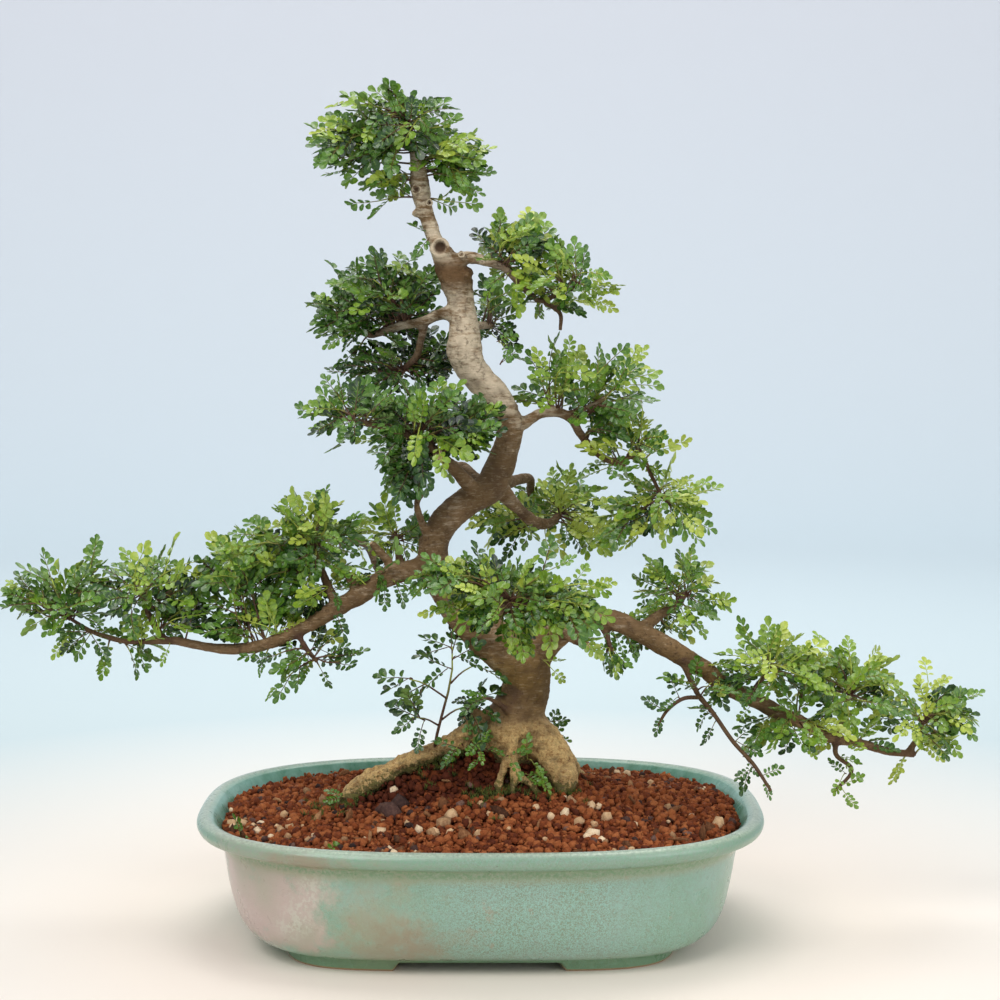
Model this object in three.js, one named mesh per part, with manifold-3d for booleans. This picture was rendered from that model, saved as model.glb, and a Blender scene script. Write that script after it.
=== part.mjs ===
// Chinese pepper bonsai in a glazed oval pot.
// Millimetres, +Z up. The origin lies on the ground under the middle of the whole tree.
// The pot's middle stands a little to the left of it, because the tree leans to the right.
import * as THREE from "three";
import { mergeVertices } from "three/addons/utils/BufferGeometryUtils.js";
import Module from "manifold-3d";

const wasm = await Module();
wasm.setup();

// Driving dimensions
const POT_X = -11.4;
const POT_LENGTH = 335;
const POT_DEPTH = 254;
const POT_HEIGHT = 75.3;
const FOOT_HEIGHT = 5;
const FLOOR_TOP = 12;
const DRAIN_RADIUS = 9;
const DRAIN_SPACING = 110;
const SLOT_ACROSS = 92;
const SLOT_DEEP = 62;
const SOIL_EDGE = 68;
const MOUND_HEIGHT = 20;
const MOUND_REACH = 78;
const MOUND_STRETCH = 1.25;
const MOUND_X = 6;
const GRAIN_RELIEF = 1.7;
const GAP = 0.55;
const ROUNDING = 0.3;
const BLADE_ROUNDING = 0.15;
const POT_ROUNDING = 0.05;
const LEAF_LENGTH = 31;
const SPROUT_LEAF_LENGTH = 23;
const LEAF_THICKNESS = 0.7;
const LEAVES = 142;
const TRIES = 8;
const SEEDS = { soil: 41, wood: 7, core: 100, leaves: 500 };

// Finishes
const finish = (colour, roughness) =>
  new THREE.MeshStandardMaterial({ color: colour, roughness, metalness: 0 });
const glaze = finish(0x7daf9b, 0.25);
const plastic = finish(0x2b2d2c, 0.6);
const soilFinish = finish(0x824625, 0.95);
const bark = finish(0x9c8468, 0.85);
const leafGreen = finish(0x4f8a32, 0.45);
const shootGreen = finish(0x8fb24a, 0.45);

// One seeded stream of numbers from 0 to 1 for each thing that is drawn by chance
function stream(seed) {
  let state = seed;
  return () => {
    state = (state + 0x6d2b79f5) | 0;
    let t = Math.imul(state ^ (state >>> 15), 1 | state);
    t = (t + Math.imul(t ^ (t >>> 7), 61 | t)) ^ t;
    return ((t ^ (t >>> 14)) >>> 0) / 4294967296;
  };
}

// A closed three.js geometry as a solid, with its shared corners merged
function solid(geometry) {
  const bare = geometry.clone();
  bare.deleteAttribute("normal");
  bare.deleteAttribute("uv");
  const merged = mergeVertices(bare, 1e-4);
  return new wasm.Manifold(
    new wasm.Mesh({
      numProp: 3,
      vertProperties: new Float32Array(merged.attributes.position.array),
      triVerts: new Uint32Array(merged.index.array),
    }),
  );
}

const join = (solids) => wasm.Manifold.union(solids);

// The largest body of a solid, its finest facets smoothed away: loose scraps and hollows that
// are sealed inside go with them
function settle(made, rounding) {
  const bodies = made.simplify(rounding).decompose();
  return bodies.reduce((a, b) => (b.volume() > a.volume() ? b : a));
}

// A solid as a named mesh
function meshOf(name, made, material) {
  const { vertProperties, triVerts, numProp } = made.getMesh();
  const geometry = new THREE.BufferGeometry();
  const places = new Float32Array((vertProperties.length / numProp) * 3);
  for (let i = 0; i < places.length / 3; i += 1) {
    for (let k = 0; k < 3; k += 1) places[i * 3 + k] = vertProperties[i * numProp + k];
  }
  geometry.setAttribute("position", new THREE.BufferAttribute(places, 3));
  geometry.setIndex(new THREE.BufferAttribute(new Uint32Array(triVerts), 1));
  geometry.computeVertexNormals();
  const mesh = new THREE.Mesh(geometry, material);
  mesh.name = name;
  return mesh;
}

// A closed skin over rings of equally many points, with a fan over the first and the last ring
function loft(rings) {
  const count = rings[0].length;
  const places = [];
  const faces = [];
  const middle = (ring) =>
    ring.reduce((sum, p) => sum.add(p), new THREE.Vector3()).divideScalar(count);
  for (const ring of rings) {
    for (const p of ring) places.push(p.x, p.y, p.z);
  }
  const first = middle(rings[0]);
  const last = middle(rings[rings.length - 1]);
  places.push(first.x, first.y, first.z, last.x, last.y, last.z);
  const bottom = rings.length * count;
  for (let i = 0; i < count; i += 1) {
    const next = (i + 1) % count;
    faces.push(bottom, next, i);
    for (let k = 0; k + 1 < rings.length; k += 1) {
      const a = k * count;
      const b = a + count;
      faces.push(a + i, a + next, b + next);
      faces.push(a + i, b + next, b + i);
    }
    const top = (rings.length - 1) * count;
    faces.push(bottom + 1, top + i, top + next);
  }
  const geometry = new THREE.BufferGeometry();
  geometry.setAttribute("position", new THREE.Float32BufferAttribute(places, 3));
  geometry.setIndex(faces);
  return geometry;
}

// A level ring whose outline is a superellipse: half length, half depth, height, exponent
function ovalRing([a, b, z, n], count, shift = () => [0, 0, 0]) {
  const ring = [];
  for (let i = 0; i < count; i += 1) {
    const t = (2 * Math.PI * (i + 0.5)) / count;
    const x = a * Math.sign(Math.cos(t)) * Math.abs(Math.cos(t)) ** (2 / n);
    const y = b * Math.sign(Math.sin(t)) * Math.abs(Math.sin(t)) ** (2 / n);
    const [dx, dy, dz] = shift(x, y, i);
    ring.push(new THREE.Vector3(POT_X + x + dx, y + dy, z + dz));
  }
  return ring;
}

// A limb along a route of [x, y, z, radius]: round sections square to a smooth curve.
// The ends stay where the route puts them, and grow widens the limb all round.
function limb(route, sides, steps, grow = 0) {
  const points = route.map(([x, y, z]) => new THREE.Vector3(x, y, z));
  const curve = new THREE.CatmullRomCurve3(points, false, "centripetal");
  const frames = curve.computeFrenetFrames(steps, false);
  const rings = [];
  for (let k = 0; k <= steps; k += 1) {
    const u = k / steps;
    const t = curve.getUtoTmapping(u);
    const along = t * (route.length - 1);
    const i = Math.min(Math.floor(along), route.length - 2);
    const radius = route[i][3] + (route[i + 1][3] - route[i][3]) * (along - i) + grow;
    const centre = curve.getPoint(t);
    if (k === 0) centre.addScaledVector(frames.tangents[0], -grow);
    if (k === steps) centre.addScaledVector(frames.tangents[steps], grow);
    const ring = [];
    for (let s = 0; s < sides; s += 1) {
      const turn = (2 * Math.PI * s) / sides;
      ring.push(
        centre
          .clone()
          .addScaledVector(frames.normals[k], radius * Math.cos(turn))
          .addScaledVector(frames.binormals[k], radius * Math.sin(turn)),
      );
    }
    rings.push(ring);
  }
  return solid(loft(rings));
}

// A lumpy ball: a split octahedron's corners pushed in and out by chance, then stretched
function lump([x, y, z, rx, ry, rz], chance, grow = 0, roughness = 0.2) {
  const ball = bareBall();
  const place = ball.attributes.position;
  for (let i = 0; i < place.count; i += 1) {
    const push = 1 + roughness * (2 * chance() - 1);
    place.setXYZ(
      i,
      x + place.getX(i) * (rx * push + grow),
      y + place.getY(i) * (ry * push + grow),
      z + place.getZ(i) * (rz * push + grow),
    );
  }
  return solid(ball);
}

function bareBall() {
  const ball = new THREE.OctahedronGeometry(1, 1);
  ball.deleteAttribute("normal");
  ball.deleteAttribute("uv");
  return mergeVertices(ball);
}

// Pot: one wall profile, carried round a superellipse that squares up towards the foot
const SIDES = 32;
const A = POT_LENGTH / 2;
const B = POT_DEPTH / 2;
const OUTSIDE = [
  [A - 64.5, B - 46, FOOT_HEIGHT, 5],
  [A - 64.5, B - 46, 0, 5],
  [A - 54, B - 35.5, 0, 5],
  [A - 52, B - 34.5, 7, 4.6],
  [A - 42, B - 28.5, 8.6, 4.2],
  [A - 31.5, B - 21.5, 12, 3.7],
  [A - 24, B - 16.2, 19.5, 3.2],
  [A - 19, B - 12.2, 36, 2.9],
  [A - 16.4, B - 10, 53, 2.8],
  [A - 14, B - 8.4, 63, 2.8],
  [A - 4.5, B - 3, 66.4, 2.8],
  [A, B, 69.6, 2.8],
  [A, B, 72.4, 2.8],
  [A - 4, B - 3.4, POT_HEIGHT, 2.8],
];
const INSIDE = [
  [A - 9.5, B - 7.8, 74, 2.8],
  [A - 12.5, B - 10.5, 70, 2.8],
  [A - 25, B - 19, 53, 2.9],
  [A - 36, B - 27, 17, 3.3],
  [A - 56, B - 42, FLOOR_TOP, 4],
];
const DRAIN_CUT = { length: 40, sides: 16, middle: 10 };

function pot() {
  let made = solid(loft([...OUTSIDE, ...INSIDE].map((row) => ovalRing(row, SIDES))));
  const slots = [
    [SLOT_ACROSS, POT_DEPTH],
    [POT_LENGTH, SLOT_DEEP],
  ];
  for (const [across, deep] of slots) {
    const slot = new THREE.BoxGeometry(across, deep, 2 * FOOT_HEIGHT);
    made = made.subtract(solid(slot.translate(POT_X, 0, 0)));
  }
  const { length, sides, middle } = DRAIN_CUT;
  for (const side of [-1, 1]) {
    const drain = new THREE.CylinderGeometry(DRAIN_RADIUS, DRAIN_RADIUS, length, sides);
    drain.rotateX(Math.PI / 2).translate(POT_X + (side * DRAIN_SPACING) / 2, 0, middle);
    made = made.subtract(solid(drain));
  }
  return made;
}

// Drain mesh: a square plastic screen over each drain hole, on the pot's floor
const SCREEN = 30;
const SCREEN_THICKNESS = 1.2;
const MESH_PITCH = 11;
const MESH_OPENING = 8;

function screen(side, grow = 0) {
  const across = SCREEN + 2 * grow;
  const [x, z] = [POT_X + (side * DRAIN_SPACING) / 2, FLOOR_TOP + GAP + SCREEN_THICKNESS / 2];
  const plate = new THREE.BoxGeometry(across, across, SCREEN_THICKNESS + 2 * grow);
  let made = solid(plate.translate(x, 0, z));
  for (const i of grow ? [] : [-0.5, 0.5]) {
    for (const j of [-0.5, 0.5]) {
      const hole = new THREE.BoxGeometry(MESH_OPENING, MESH_OPENING, 2 * SCREEN_THICKNESS);
      made = made.subtract(solid(hole.translate(x + i * MESH_PITCH, j * MESH_PITCH, z)));
    }
  }
  return made;
}

// Soil: fills the pot inside. Its top rises to the trunk as a mound of coarse grains, and higher
// still as a bank that runs along the left root and across the front of the trunk.
const SOIL_RINGS = 8;
const SOIL_INSET = { wall: [3.4, 2.6], top: 4, drop: 1.5, middle: 0.25 };
const GRAIN_SHIFT = { most: 2.6, share: 18 };
// Rows of [x, height over the mound], and how far the bank reaches to its front and back
const BANK = [[-95, 0], [-80, 7], [-62, 12], [-50, 16], [-35, 19], [-18, 21], [4, 18], [22, 9], [44, 0]];
const BANK_Y = -6;
const BANK_REACH = { front: 12, back: 20 };

function bankHeight(x) {
  const next = BANK.findIndex(([at]) => at > x);
  if (next <= 0) return 0;
  const [[x0, h0], [x1, h1]] = [BANK[next - 1], BANK[next]];
  return h0 + ((h1 - h0) * (x - x0)) / (x1 - x0);
}

function soilHeight(x, y) {
  const away = Math.hypot((x - MOUND_X) / MOUND_STRETCH, y) / MOUND_REACH;
  const off = (y - BANK_Y) / (y < BANK_Y ? BANK_REACH.front : BANK_REACH.back);
  return MOUND_HEIGHT * Math.exp(-away * away) + bankHeight(x) * Math.exp(-off * off);
}

function soil() {
  const chance = stream(SEEDS.soil);
  const fill = INSIDE.slice(1).reverse();
  const rings = fill.map(([a, b, z, n], k) =>
    ovalRing([a - GAP, b - GAP, k === 0 ? z + GAP : z, n], SIDES),
  );
  const [a, b, , n] = fill[fill.length - 1];
  const { wall, top, drop, middle } = SOIL_INSET;
  rings[rings.length - 1] = ovalRing([a - wall[0], b - wall[1], SOIL_EDGE - drop, n], SIDES);
  for (let k = SOIL_RINGS; k > 0; k -= 1) {
    const size = (k - middle) / SOIL_RINGS;
    const shift = (x, y) => {
      const jitter = () => (2 * chance() - 1) * Math.min(GRAIN_SHIFT.most, GRAIN_SHIFT.share * size);
      const lift = soilHeight(POT_X + x, y) + GRAIN_RELIEF * (2 * chance() - 1);
      return k === SOIL_RINGS ? [0, 0, lift] : [jitter(), jitter(), lift];
    };
    rings.push(ovalRing([(a - top) * size, (b - top) * size, SOIL_EDGE, n], SIDES, shift));
  }
  return solid(loft(rings));
}

// Wood: trunk, surface roots, branches and pruned stubs, grown as one piece.
// Each route is a list of [x, y, z, radius], and each limb has its sides and steps.
const TRUNK = [
  [10, 5, 56, 9], [10, 6, 72, 14], [9, 6, 90, 16], [8, 5, 103, 17], [7, 1, 116, 18.2],
  [10, 0, 130, 15.8], [15, 0, 143, 14.3], [14, -2, 157, 14.2], [3, -5, 168, 13.6],
  [-12, -9, 180, 11.8], [-24, -12, 193, 10.6], [-32, -14, 206, 10], [-38, -14, 219, 9.7],
  [-39, -13, 230, 8.8], [-35, -11, 240, 8.5], [-28, -8, 249, 8.5], [-18, -4, 256, 8.8],
  [-6, 0, 264, 9.4], [-1, 2, 274, 8.9], [4, 4, 286, 7.7], [6, 4, 295, 7.4], [6, 3, 304, 7.1],
  [3, 1, 311, 7.6], [-3, -1, 320, 8.3], [-12, -2, 328, 9], [-18, -3, 336, 9.3],
  [-21, -3, 345, 10.6], [-21, -2, 354, 9.1], [-22, 0, 363, 8.2], [-23, 1, 372, 7.7],
  [-26, 1, 384, 9], [-30, 0, 393, 8], [-34, -1, 401, 6.7], [-38, -1, 410, 4.1],
  [-41, 0, 419, 3.8], [-44, 0, 430, 3.8], [-45, 1, 440, 3.5], [-47, 2, 452, 2.9],
  [-51, 3, 467, 2], [-55, 2, 480, 1.2],
];
const RIGHT_BRANCH = [
  [14, 0, 156, 13], [25, -4, 171, 10.7], [38, -9, 182, 8], [50, -13, 188, 6.3],
  [68, -18, 187, 6.1], [85, -21, 179, 5.8], [96, -23, 173, 6.1], [109, -24, 166, 5.8],
  [118, -25, 161, 5.5], [131, -25, 150, 5], [150, -24, 141, 4.7], [166, -22, 132, 4.4],
  [176, -21, 128, 4.1], [195, -19, 118, 3.2], [214, -17, 114, 2.8], [229, -15, 109, 2.4],
  [245, -14, 107, 2.1],
];
const LEFT_BRANCH = [
  [-36, -14, 219, 8], [-47, -17, 218, 6.7], [-67, -22, 213, 5.5], [-81, -25, 204, 5.2],
  [-99, -27, 194, 4.9], [-113, -28, 186, 4.6], [-128, -28, 178, 3.8], [-145, -27, 173, 3.3],
  [-162, -25, 172, 3.2], [-178, -23, 174, 2.8], [-190, -21, 176, 2.6], [-205, -18, 175, 1.9],
  [-222, -15, 175, 1.5], [-240, -12, 180, 1.3], [-254, -10, 188, 1],
];
const LIMBS = [
  [TRUNK, 8, 27],
  [RIGHT_BRANCH, 6, 12],
  [LEFT_BRANCH, 6, 11],
];
const ROOTS = [
  [[-1, -2, 120, 16], [-13, -4, 118, 10.5], [-25, -5, 113.5, 7], [-38, -6, 107, 6],
    [-50, -7, 103, 6], [-63, -7, 96, 6], [-75, -7, 90, 6.6], [-85, -7, 83, 7], [-92, -7, 74, 6.6],
    [-95, -7, 64, 5]],
  [[18, -4, 119, 12.5], [27, -8, 112, 10.8], [33, -12, 104, 9.8], [37, -15, 94, 8.4],
    [36, -17, 84, 6.8], [34, -18, 68, 5]],
  [[12, 14, 112, 14], [17, 38, 98, 12.3], [24, 58, 82, 8.8], [32, 74, 66, 5.8]],
  [[-3, 12, 113, 13.2], [-13, 32, 100, 9.4], [-24, 50, 84, 6.6], [-32, 62, 68, 4.5]],
  [[20, 8, 114, 11.4], [33, 24, 100, 8.6], [44, 42, 84, 6.2], [52, 56, 66, 4]],
];
const FINE_ROOTS = [
  [[7, -13, 119, 4.6], [7, -19, 107, 3.4], [10, -22, 98, 2.7], [18, -25, 91, 2.4],
    [28, -28, 80, 2.1]],
  [[6, -17, 110, 3.2], [2, -22, 102, 2.4], [0, -25, 94, 2.2], [-3, -28, 80, 2]],
];
const BRANCHES = {
  rightTop: [[-26, 0, 396, 4.6], [-20, -2, 399, 3.8], [-10, -4, 397, 3.1], [3, -6, 392, 2.5],
    [13, -7, 382, 2.2], [23, -7, 374, 2], [36, -6, 379, 1.5], [45, -5, 383, 1.2]],
  leftTop: [[-25, 0, 367, 5.3], [-33, 3, 366, 4.1], [-47, 9, 361, 3.2], [-58, 16, 359, 3],
    [-67, 22, 356, 2.7], [-79, 30, 353, 2.1], [-90, 38, 361, 1.5]],
  leftMiddle: [[-44, 8, 361, 2.7], [-47, 14, 350, 2.4], [-49, 18, 342, 2.2],
    [-55, 24, 335, 2.1], [-60, 30, 330, 1.5]],
  backTop: [[-22, 2, 357, 4.7], [-17, 30, 358, 3.3], [-9, 60, 358, 2.4], [-4, 82, 357, 1.6]],
  leftFront: [[-13, -6, 260, 5], [-22, -22, 272, 3.8], [-34, -38, 286, 3.1],
    [-48, -47, 297, 2.6], [-66, -54, 303, 2], [-82, -56, 307, 1.4]],
  rightUpper: [[5, 3, 301, 5.3], [12, 5, 301, 3.8], [24, 8, 307, 3.4], [37, 10, 307, 3],
    [43, 11, 303, 2.8], [47, 12, 296, 2.8], [55, 13, 286, 2.7], [61, 13, 281, 2.5],
    [74, 12, 276, 2.4]],
  backRight: [[-2, 4, 266, 6.5], [4, 12, 257, 4.8], [11, 26, 249, 3.9], [20, 44, 239, 3.7],
    [30, 60, 236, 3.1], [38, 76, 240, 2]],
  backMiddle: [[0, 4, 272, 5.3], [5, 36, 264, 3.9], [18, 68, 263, 3.1],
    [20, 100, 248, 2.4], [28, 127, 240, 1.5]],
  backLeft: [[-8, 2, 262, 5.3], [-22, 34, 272, 3.9], [-26, 68, 270, 3.1],
    [-46, 100, 280, 2.4], [-54, 123, 282, 1.5]],
  backLow: [[12, 4, 158, 7.8], [20, 42, 168, 5.6], [8, 78, 162, 4.1], [16, 112, 172, 2.8],
    [14, 137, 175, 1.6]],
  front: [[-18, -16, 187, 6.4], [-9, -45, 193, 4.6], [0, -75, 201, 3.4], [4, -100, 208, 2.4],
    [6, -117, 213, 1.5]],
  lowRight: [[82, -20, 182, 4.1], [95, -8, 190, 3.2], [105, 2, 194, 2.4], [111, 8, 199, 1.5]],
  rightInner: [[146, -24, 143, 3], [152, -29, 154, 2], [156, -34, 163, 1.4]],
  rightOuter: [[197, -19, 119, 2.6], [203, -12, 131, 1.8], [207, -7, 142, 1.2]],
  rightTip: [[240, -14, 107, 2], [248, -11, 118, 1.6], [251, -9, 128, 1.2]],
  leftInner: [[-56, -19, 217, 3], [-60, -4, 225, 2.2], [-62, 12, 233, 1.4]],
  leftMound: [[-95, -26, 197, 3.4], [-103, -18, 214, 2.4], [-110, -10, 231, 1.5]],
  leftBack: [[-58, -19, 215, 4], [-72, 16, 212, 2.8], [-82, 52, 223, 2.2], [-103, 90, 222, 1.5]],
  leftOuter: [[-196, -20, 176, 2.4], [-205, -14, 188, 1.8], [-211, -8, 201, 1.2]],
  leftHanging: [[-118, -28, 183, 2.2], [-113, -31, 174, 1.6], [-106, -34, 166, 1.1]],
  neckTwig: [[6, -14, 132, 2.6], [0, -21, 138, 1.8], [-5, -26, 142, 1.1]],
  tuftTwig: [[60, -18, 184, 2.4], [63, -21, 177, 1.6], [65, -24, 170, 1.1]],
};
const TWIGS = [
  [[107, -26, 163, 2.3], [116, -34, 145, 1.7], [122, -37, 138, 1.4], [135, -42, 120, 1.3],
    [146, -45, 108, 1.2], [156, -47, 93, 0.9]],
  [[116, -34, 145, 1.3], [106, -38, 145, 1.2], [96, -41, 138, 1], [91, -43, 130, 0.8]],
  [[198, -19, 118, 1.8], [197, -22, 109, 1.5], [206, -25, 101, 1.2], [195, -28, 87, 0.9]],
  [[68, 12, 278, 1.5], [84, 12, 281, 1.3], [90, 13, 270, 1.2], [97, 14, 256, 1]],
  [[26, -7, 373, 1.6], [35, -9, 366, 1.3], [35, -10, 357, 1]],
];
const STUBS = [
  [[-42, -14, 236, 2.9], [-46, -26, 249, 2.3], [-48, -32, 258, 2.3], [-45, -34, 265, 2.3]],
  [[30, 9, 306, 2.3], [30, 10, 316, 1.7]],
  [[40, 10, 306, 2.4], [50, 10, 310, 2], [62, 9, 316, 1.8]],
  [[-61, -20, 214, 3], [-66, -22, 224, 2.4], [-75, -24, 234, 2.2]],
  [[31, -9, 178, 4.1], [41, -26, 179, 3.2], [51, -34, 175, 2.6]],
  [[-81, -25, 204, 3.2], [-88, -24, 214, 2.4], [-92, -22, 221, 2]],
  [[-42, 0, 421, 2.6], [-50, -3, 425, 2.3]],
];
// A pruning ring on the upper trunk: callus round a hollow that faces the front
const KNOT = {
  x: -34.5, y: -7, z: 404, radius: 5.6, flare: 1.4, length: 9, hollow: 3.1, bottom: 2.2, depth: 3.5,
  sides: 12, set: 2,
};
const BURLS = [[-17, -6, 129, 7, 6, 7], [-42, -12, 214, 8, 7, 8]];
const BURL_ROUGHNESS = 0.08;

function knot(grow = 0) {
  const { x, y, z, radius, flare, length, hollow, bottom, depth, sides, set } = KNOT;
  const wide = radius + flare + grow;
  const ring = new THREE.CylinderGeometry(radius + grow, wide, length + 2 * grow, sides);
  const hole = new THREE.CylinderGeometry(hollow, bottom, depth, sides);
  for (const part of [ring, hole]) part.rotateX(Math.PI / 2);
  ring.translate(x, y + set, z);
  hole.translate(x, y + set - length / 2 + depth / 2, z);
  return grow ? [solid(ring)] : [solid(ring).subtract(solid(hole)), solid(hole)];
}

function wood(grow = 0) {
  const chance = stream(SEEDS.wood);
  const parts = LIMBS.map(([route, sides, steps]) => limb(route, sides, steps, grow));
  for (const route of ROOTS) parts.push(limb(route, 6, route.length - 1, grow));
  for (const route of FINE_ROOTS) parts.push(limb(route, 5, 3, grow));
  for (const route of Object.values(BRANCHES)) {
    parts.push(limb(route, 4, Math.max(2, route.length - 2), grow));
  }
  for (const route of TWIGS) parts.push(limb(route, 4, route.length - 1, grow));
  for (const route of STUBS) parts.push(limb(route, 5, route.length - 1, grow));
  for (const burl of BURLS) parts.push(lump(burl, chance, grow, BURL_ROUGHNESS));
  const [ring, hole] = knot(grow);
  const made = join([...parts, ring]);
  return hole ? settle(made.subtract(hole), ROUNDING) : made;
}

// Leaf: a winged midrib with two pairs of leaflets and an end leaflet, cut from one thin blade.
// Each row is [along, across] as shares of the leaf's length, down its right edge.
const LEAF_EDGE = [
  [0, 0.035], [0.16, 0.035], [0.32, 0.29], [0.44, 0.05], [0.62, 0.3], [0.72, 0.06], [0.96, 0.14],
];
const ARCH = 0.22;
const FOLD = 0.5;

function leaf(root, ahead, up, length, grow = 0) {
  const side = new THREE.Vector3().crossVectors(ahead, up).normalize();
  const lift = new THREE.Vector3().crossVectors(side, ahead).normalize();
  const back = [...LEAF_EDGE].reverse();
  const outline = [
    ...LEAF_EDGE.map(([s, w]) => new THREE.Vector2(s, -w)),
    ...back.map(([s, w]) => new THREE.Vector2(s, w)),
  ];
  const faces = THREE.ShapeUtils.triangulateShape(outline, []);
  const count = outline.length;
  const half = LEAF_THICKNESS / 2 + grow;
  const places = [];
  for (const level of [half, -half]) {
    for (const { x, y } of outline) {
      const spread = y + Math.sign(y) * (grow / length);
      const arch = -ARCH * x * x * length - FOLD * spread * spread * length;
      const p = root
        .clone()
        .addScaledVector(ahead, x * length)
        .addScaledVector(side, -spread * length)
        .addScaledVector(lift, arch + level);
      places.push(p.x, p.y, p.z);
    }
  }
  const index = [];
  for (const [a, b, c] of faces) index.push(a, b, c, count + a, count + c, count + b);
  for (let i = 0; i < count; i += 1) {
    const next = (i + 1) % count;
    index.push(i, count + i, count + next, i, count + next, next);
  }
  const geometry = new THREE.BufferGeometry();
  geometry.setAttribute("position", new THREE.Float32BufferAttribute(places, 3));
  geometry.setIndex(index);
  const made = solid(geometry);
  if (made.volume() > 0) return made;
  for (let i = 0; i < index.length; i += 3) [index[i], index[i + 1]] = [index[i + 1], index[i]];
  return solid(geometry.setIndex(index));
}

// Foliage pads: each is a few lobes of [x, y, z, half width, half depth, half height]
const PADS = {
  crown: [[-56, 0, 474, 34, 40, 26], [-89, -6, 462, 22, 30, 22], [-27, 4, 452, 24, 32, 25]],
  right_top: [[36, -6, 386, 31, 34, 19], [8, 2, 406, 30, 32, 17]],
  left_top: [[-66, 20, 378, 36, 34, 24], [-93, 38, 366, 21, 28, 17]],
  left_middle: [[-61, 32, 332, 32, 30, 16]],
  back_top: [[-4, 82, 357, 16, 28, 21]],
  left_front: [[-42, -44, 302, 36, 34, 25], [-84, -55, 305, 30, 32, 20]],
  right_upper: [[35, 6, 334, 26, 32, 21], [69, 8, 322, 30, 32, 25]],
  right_middle: [[73, 12, 282, 27, 30, 20], [98, 14, 253, 32, 34, 25]],
  back_right: [[39, 78, 247, 35, 34, 28]],
  back_middle: [[28, 128, 240, 35, 38, 24]],
  back_left: [[-54, 124, 282, 36, 38, 25]],
  back_low: [[14, 138, 175, 40, 38, 26]],
  front: [[2, -114, 213, 38, 32, 19], [42, -112, 207, 22, 28, 16]],
  low_right: [[110, 8, 198, 31, 34, 26]],
  right_inner: [[156, -34, 163, 30, 34, 25]],
  right_outer: [[207, -6, 144, 30, 36, 26]],
  right_tip: [[248, -8, 131, 28, 32, 24], [266, -8, 129, 16, 22, 12]],
  left_inner: [[-62, 14, 234, 24, 30, 22]],
  left_mound: [[-110, -8, 234, 30, 38, 28], [-148, -8, 214, 28, 34, 24]],
  left_back: [[-104, 92, 222, 30, 32, 23]],
  left_outer: [[-212, -6, 204, 31, 34, 25]],
  left_tip: [[-256, -8, 198, 28, 32, 25], [-279, -8, 199, 15, 20, 13]],
  left_hanging: [[-117, -33, 163, 34, 22, 14]],
  neck_tuft: [[-6, -26, 142, 15, 14, 9]],
  right_tuft: [[65, -24, 169, 14, 14, 9]],
};
const CORE = { share: 0.52, flat: 0.5, roughness: 0.42, link: 2.5, root: 0.75, rounding: 0.6 };
// How a pad's leaves lie: the highest, how far the lowest is below it, and how each one leans
const LIE = { top: 0.9, fall: 1.5, climb: 0.6, sideways: 0.75, level: 0.7, lift: 0.1, up: 0.7 };
const LEAF_SPREAD = { least: 0.85, more: 0.3 };
const GOLDEN = Math.PI * (3 - Math.sqrt(5));

// The dense middle of a pad, which its leaves stand out of
function core(lobes, seed, grow = 0) {
  const chance = stream(seed);
  const parts = lobes.map(([x, y, z, rx, ry, rz]) =>
    lump(
      [x, y, z, rx * CORE.share, ry * CORE.share, rz * CORE.flat],
      chance,
      grow,
      CORE.roughness,
    ),
  );
  const [first, ...others] = lobes;
  for (const lobe of others) {
    const route = [first, lobe].map(([x, y, z]) => [x, y, z, CORE.link]);
    parts.push(limb(route, 4, 1, grow));
  }
  return join(parts).simplify(CORE.rounding);
}

const area = ([, , , rx, ry, rz]) => rx * ry + rx * rz + ry * rz;

// The place and lie of one leaf of a lobe: its root sits in the core, and it leans outwards
function leafSpot([x, y, z, rx, ry, rz], share, turn, chance) {
  const rise = LIE.top - LIE.fall * share;
  const flat = Math.sqrt(1 - rise * rise);
  const out = new THREE.Vector3(flat * Math.cos(turn), flat * Math.sin(turn), rise);
  const sunk = CORE.share * CORE.root;
  const root = new THREE.Vector3(x, y, z).add(
    new THREE.Vector3(rx, ry, rz).multiply(out).multiplyScalar(sunk),
  );
  const spin = 2 * Math.PI * chance();
  const along = new THREE.Vector3(Math.cos(spin), Math.sin(spin), LIE.climb * chance());
  const ahead = out.clone().addScaledVector(along, LIE.sideways);
  ahead.z = ahead.z * LIE.level + LIE.lift;
  const up = new THREE.Vector3(0, 0, LIE.up).add(out).normalize();
  const length = LEAF_LENGTH * (LEAF_SPREAD.least + LEAF_SPREAD.more * chance());
  return { root, ahead: ahead.normalize(), up, length };
}

// Sprout: a young shoot that stands up from the left root, with a few leaves of its own.
// Each of its leaves is [x, y, z] of the root and the way it points.
const SPROUT_TWIGS = [
  [[-39, -8, 108, 1.6], [-34, -14, 132, 1.4], [-30, -17, 150, 1.2], [-28, -18, 172, 1]],
  [[-32.5, -15.5, 140, 1.2], [-46, -18, 146, 1], [-60, -20, 151, 0.9]],
  [[-30, -17, 150, 1.2], [-18, -18, 150, 0.9]],
];
const SPROUT_LEAVES = [
  [[-28, -18, 171], [-0.5, -0.3, 0.8]],
  [[-28.5, -18, 168], [0.7, -0.2, 0.7]],
  [[-59, -20, 150.6], [-1, -0.1, 0.1]],
  [[-47, -18, 146.4], [-0.3, -0.8, 0.4]],
  [[-19, -18, 150], [0.6, -0.6, 0.5]],
  [[-34, -14.4, 134], [-0.8, -0.2, -0.3]],
];

function sprout(grow = 0) {
  return join(SPROUT_TWIGS.map((route) => limb(route, 4, route.length - 1, grow)));
}

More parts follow.
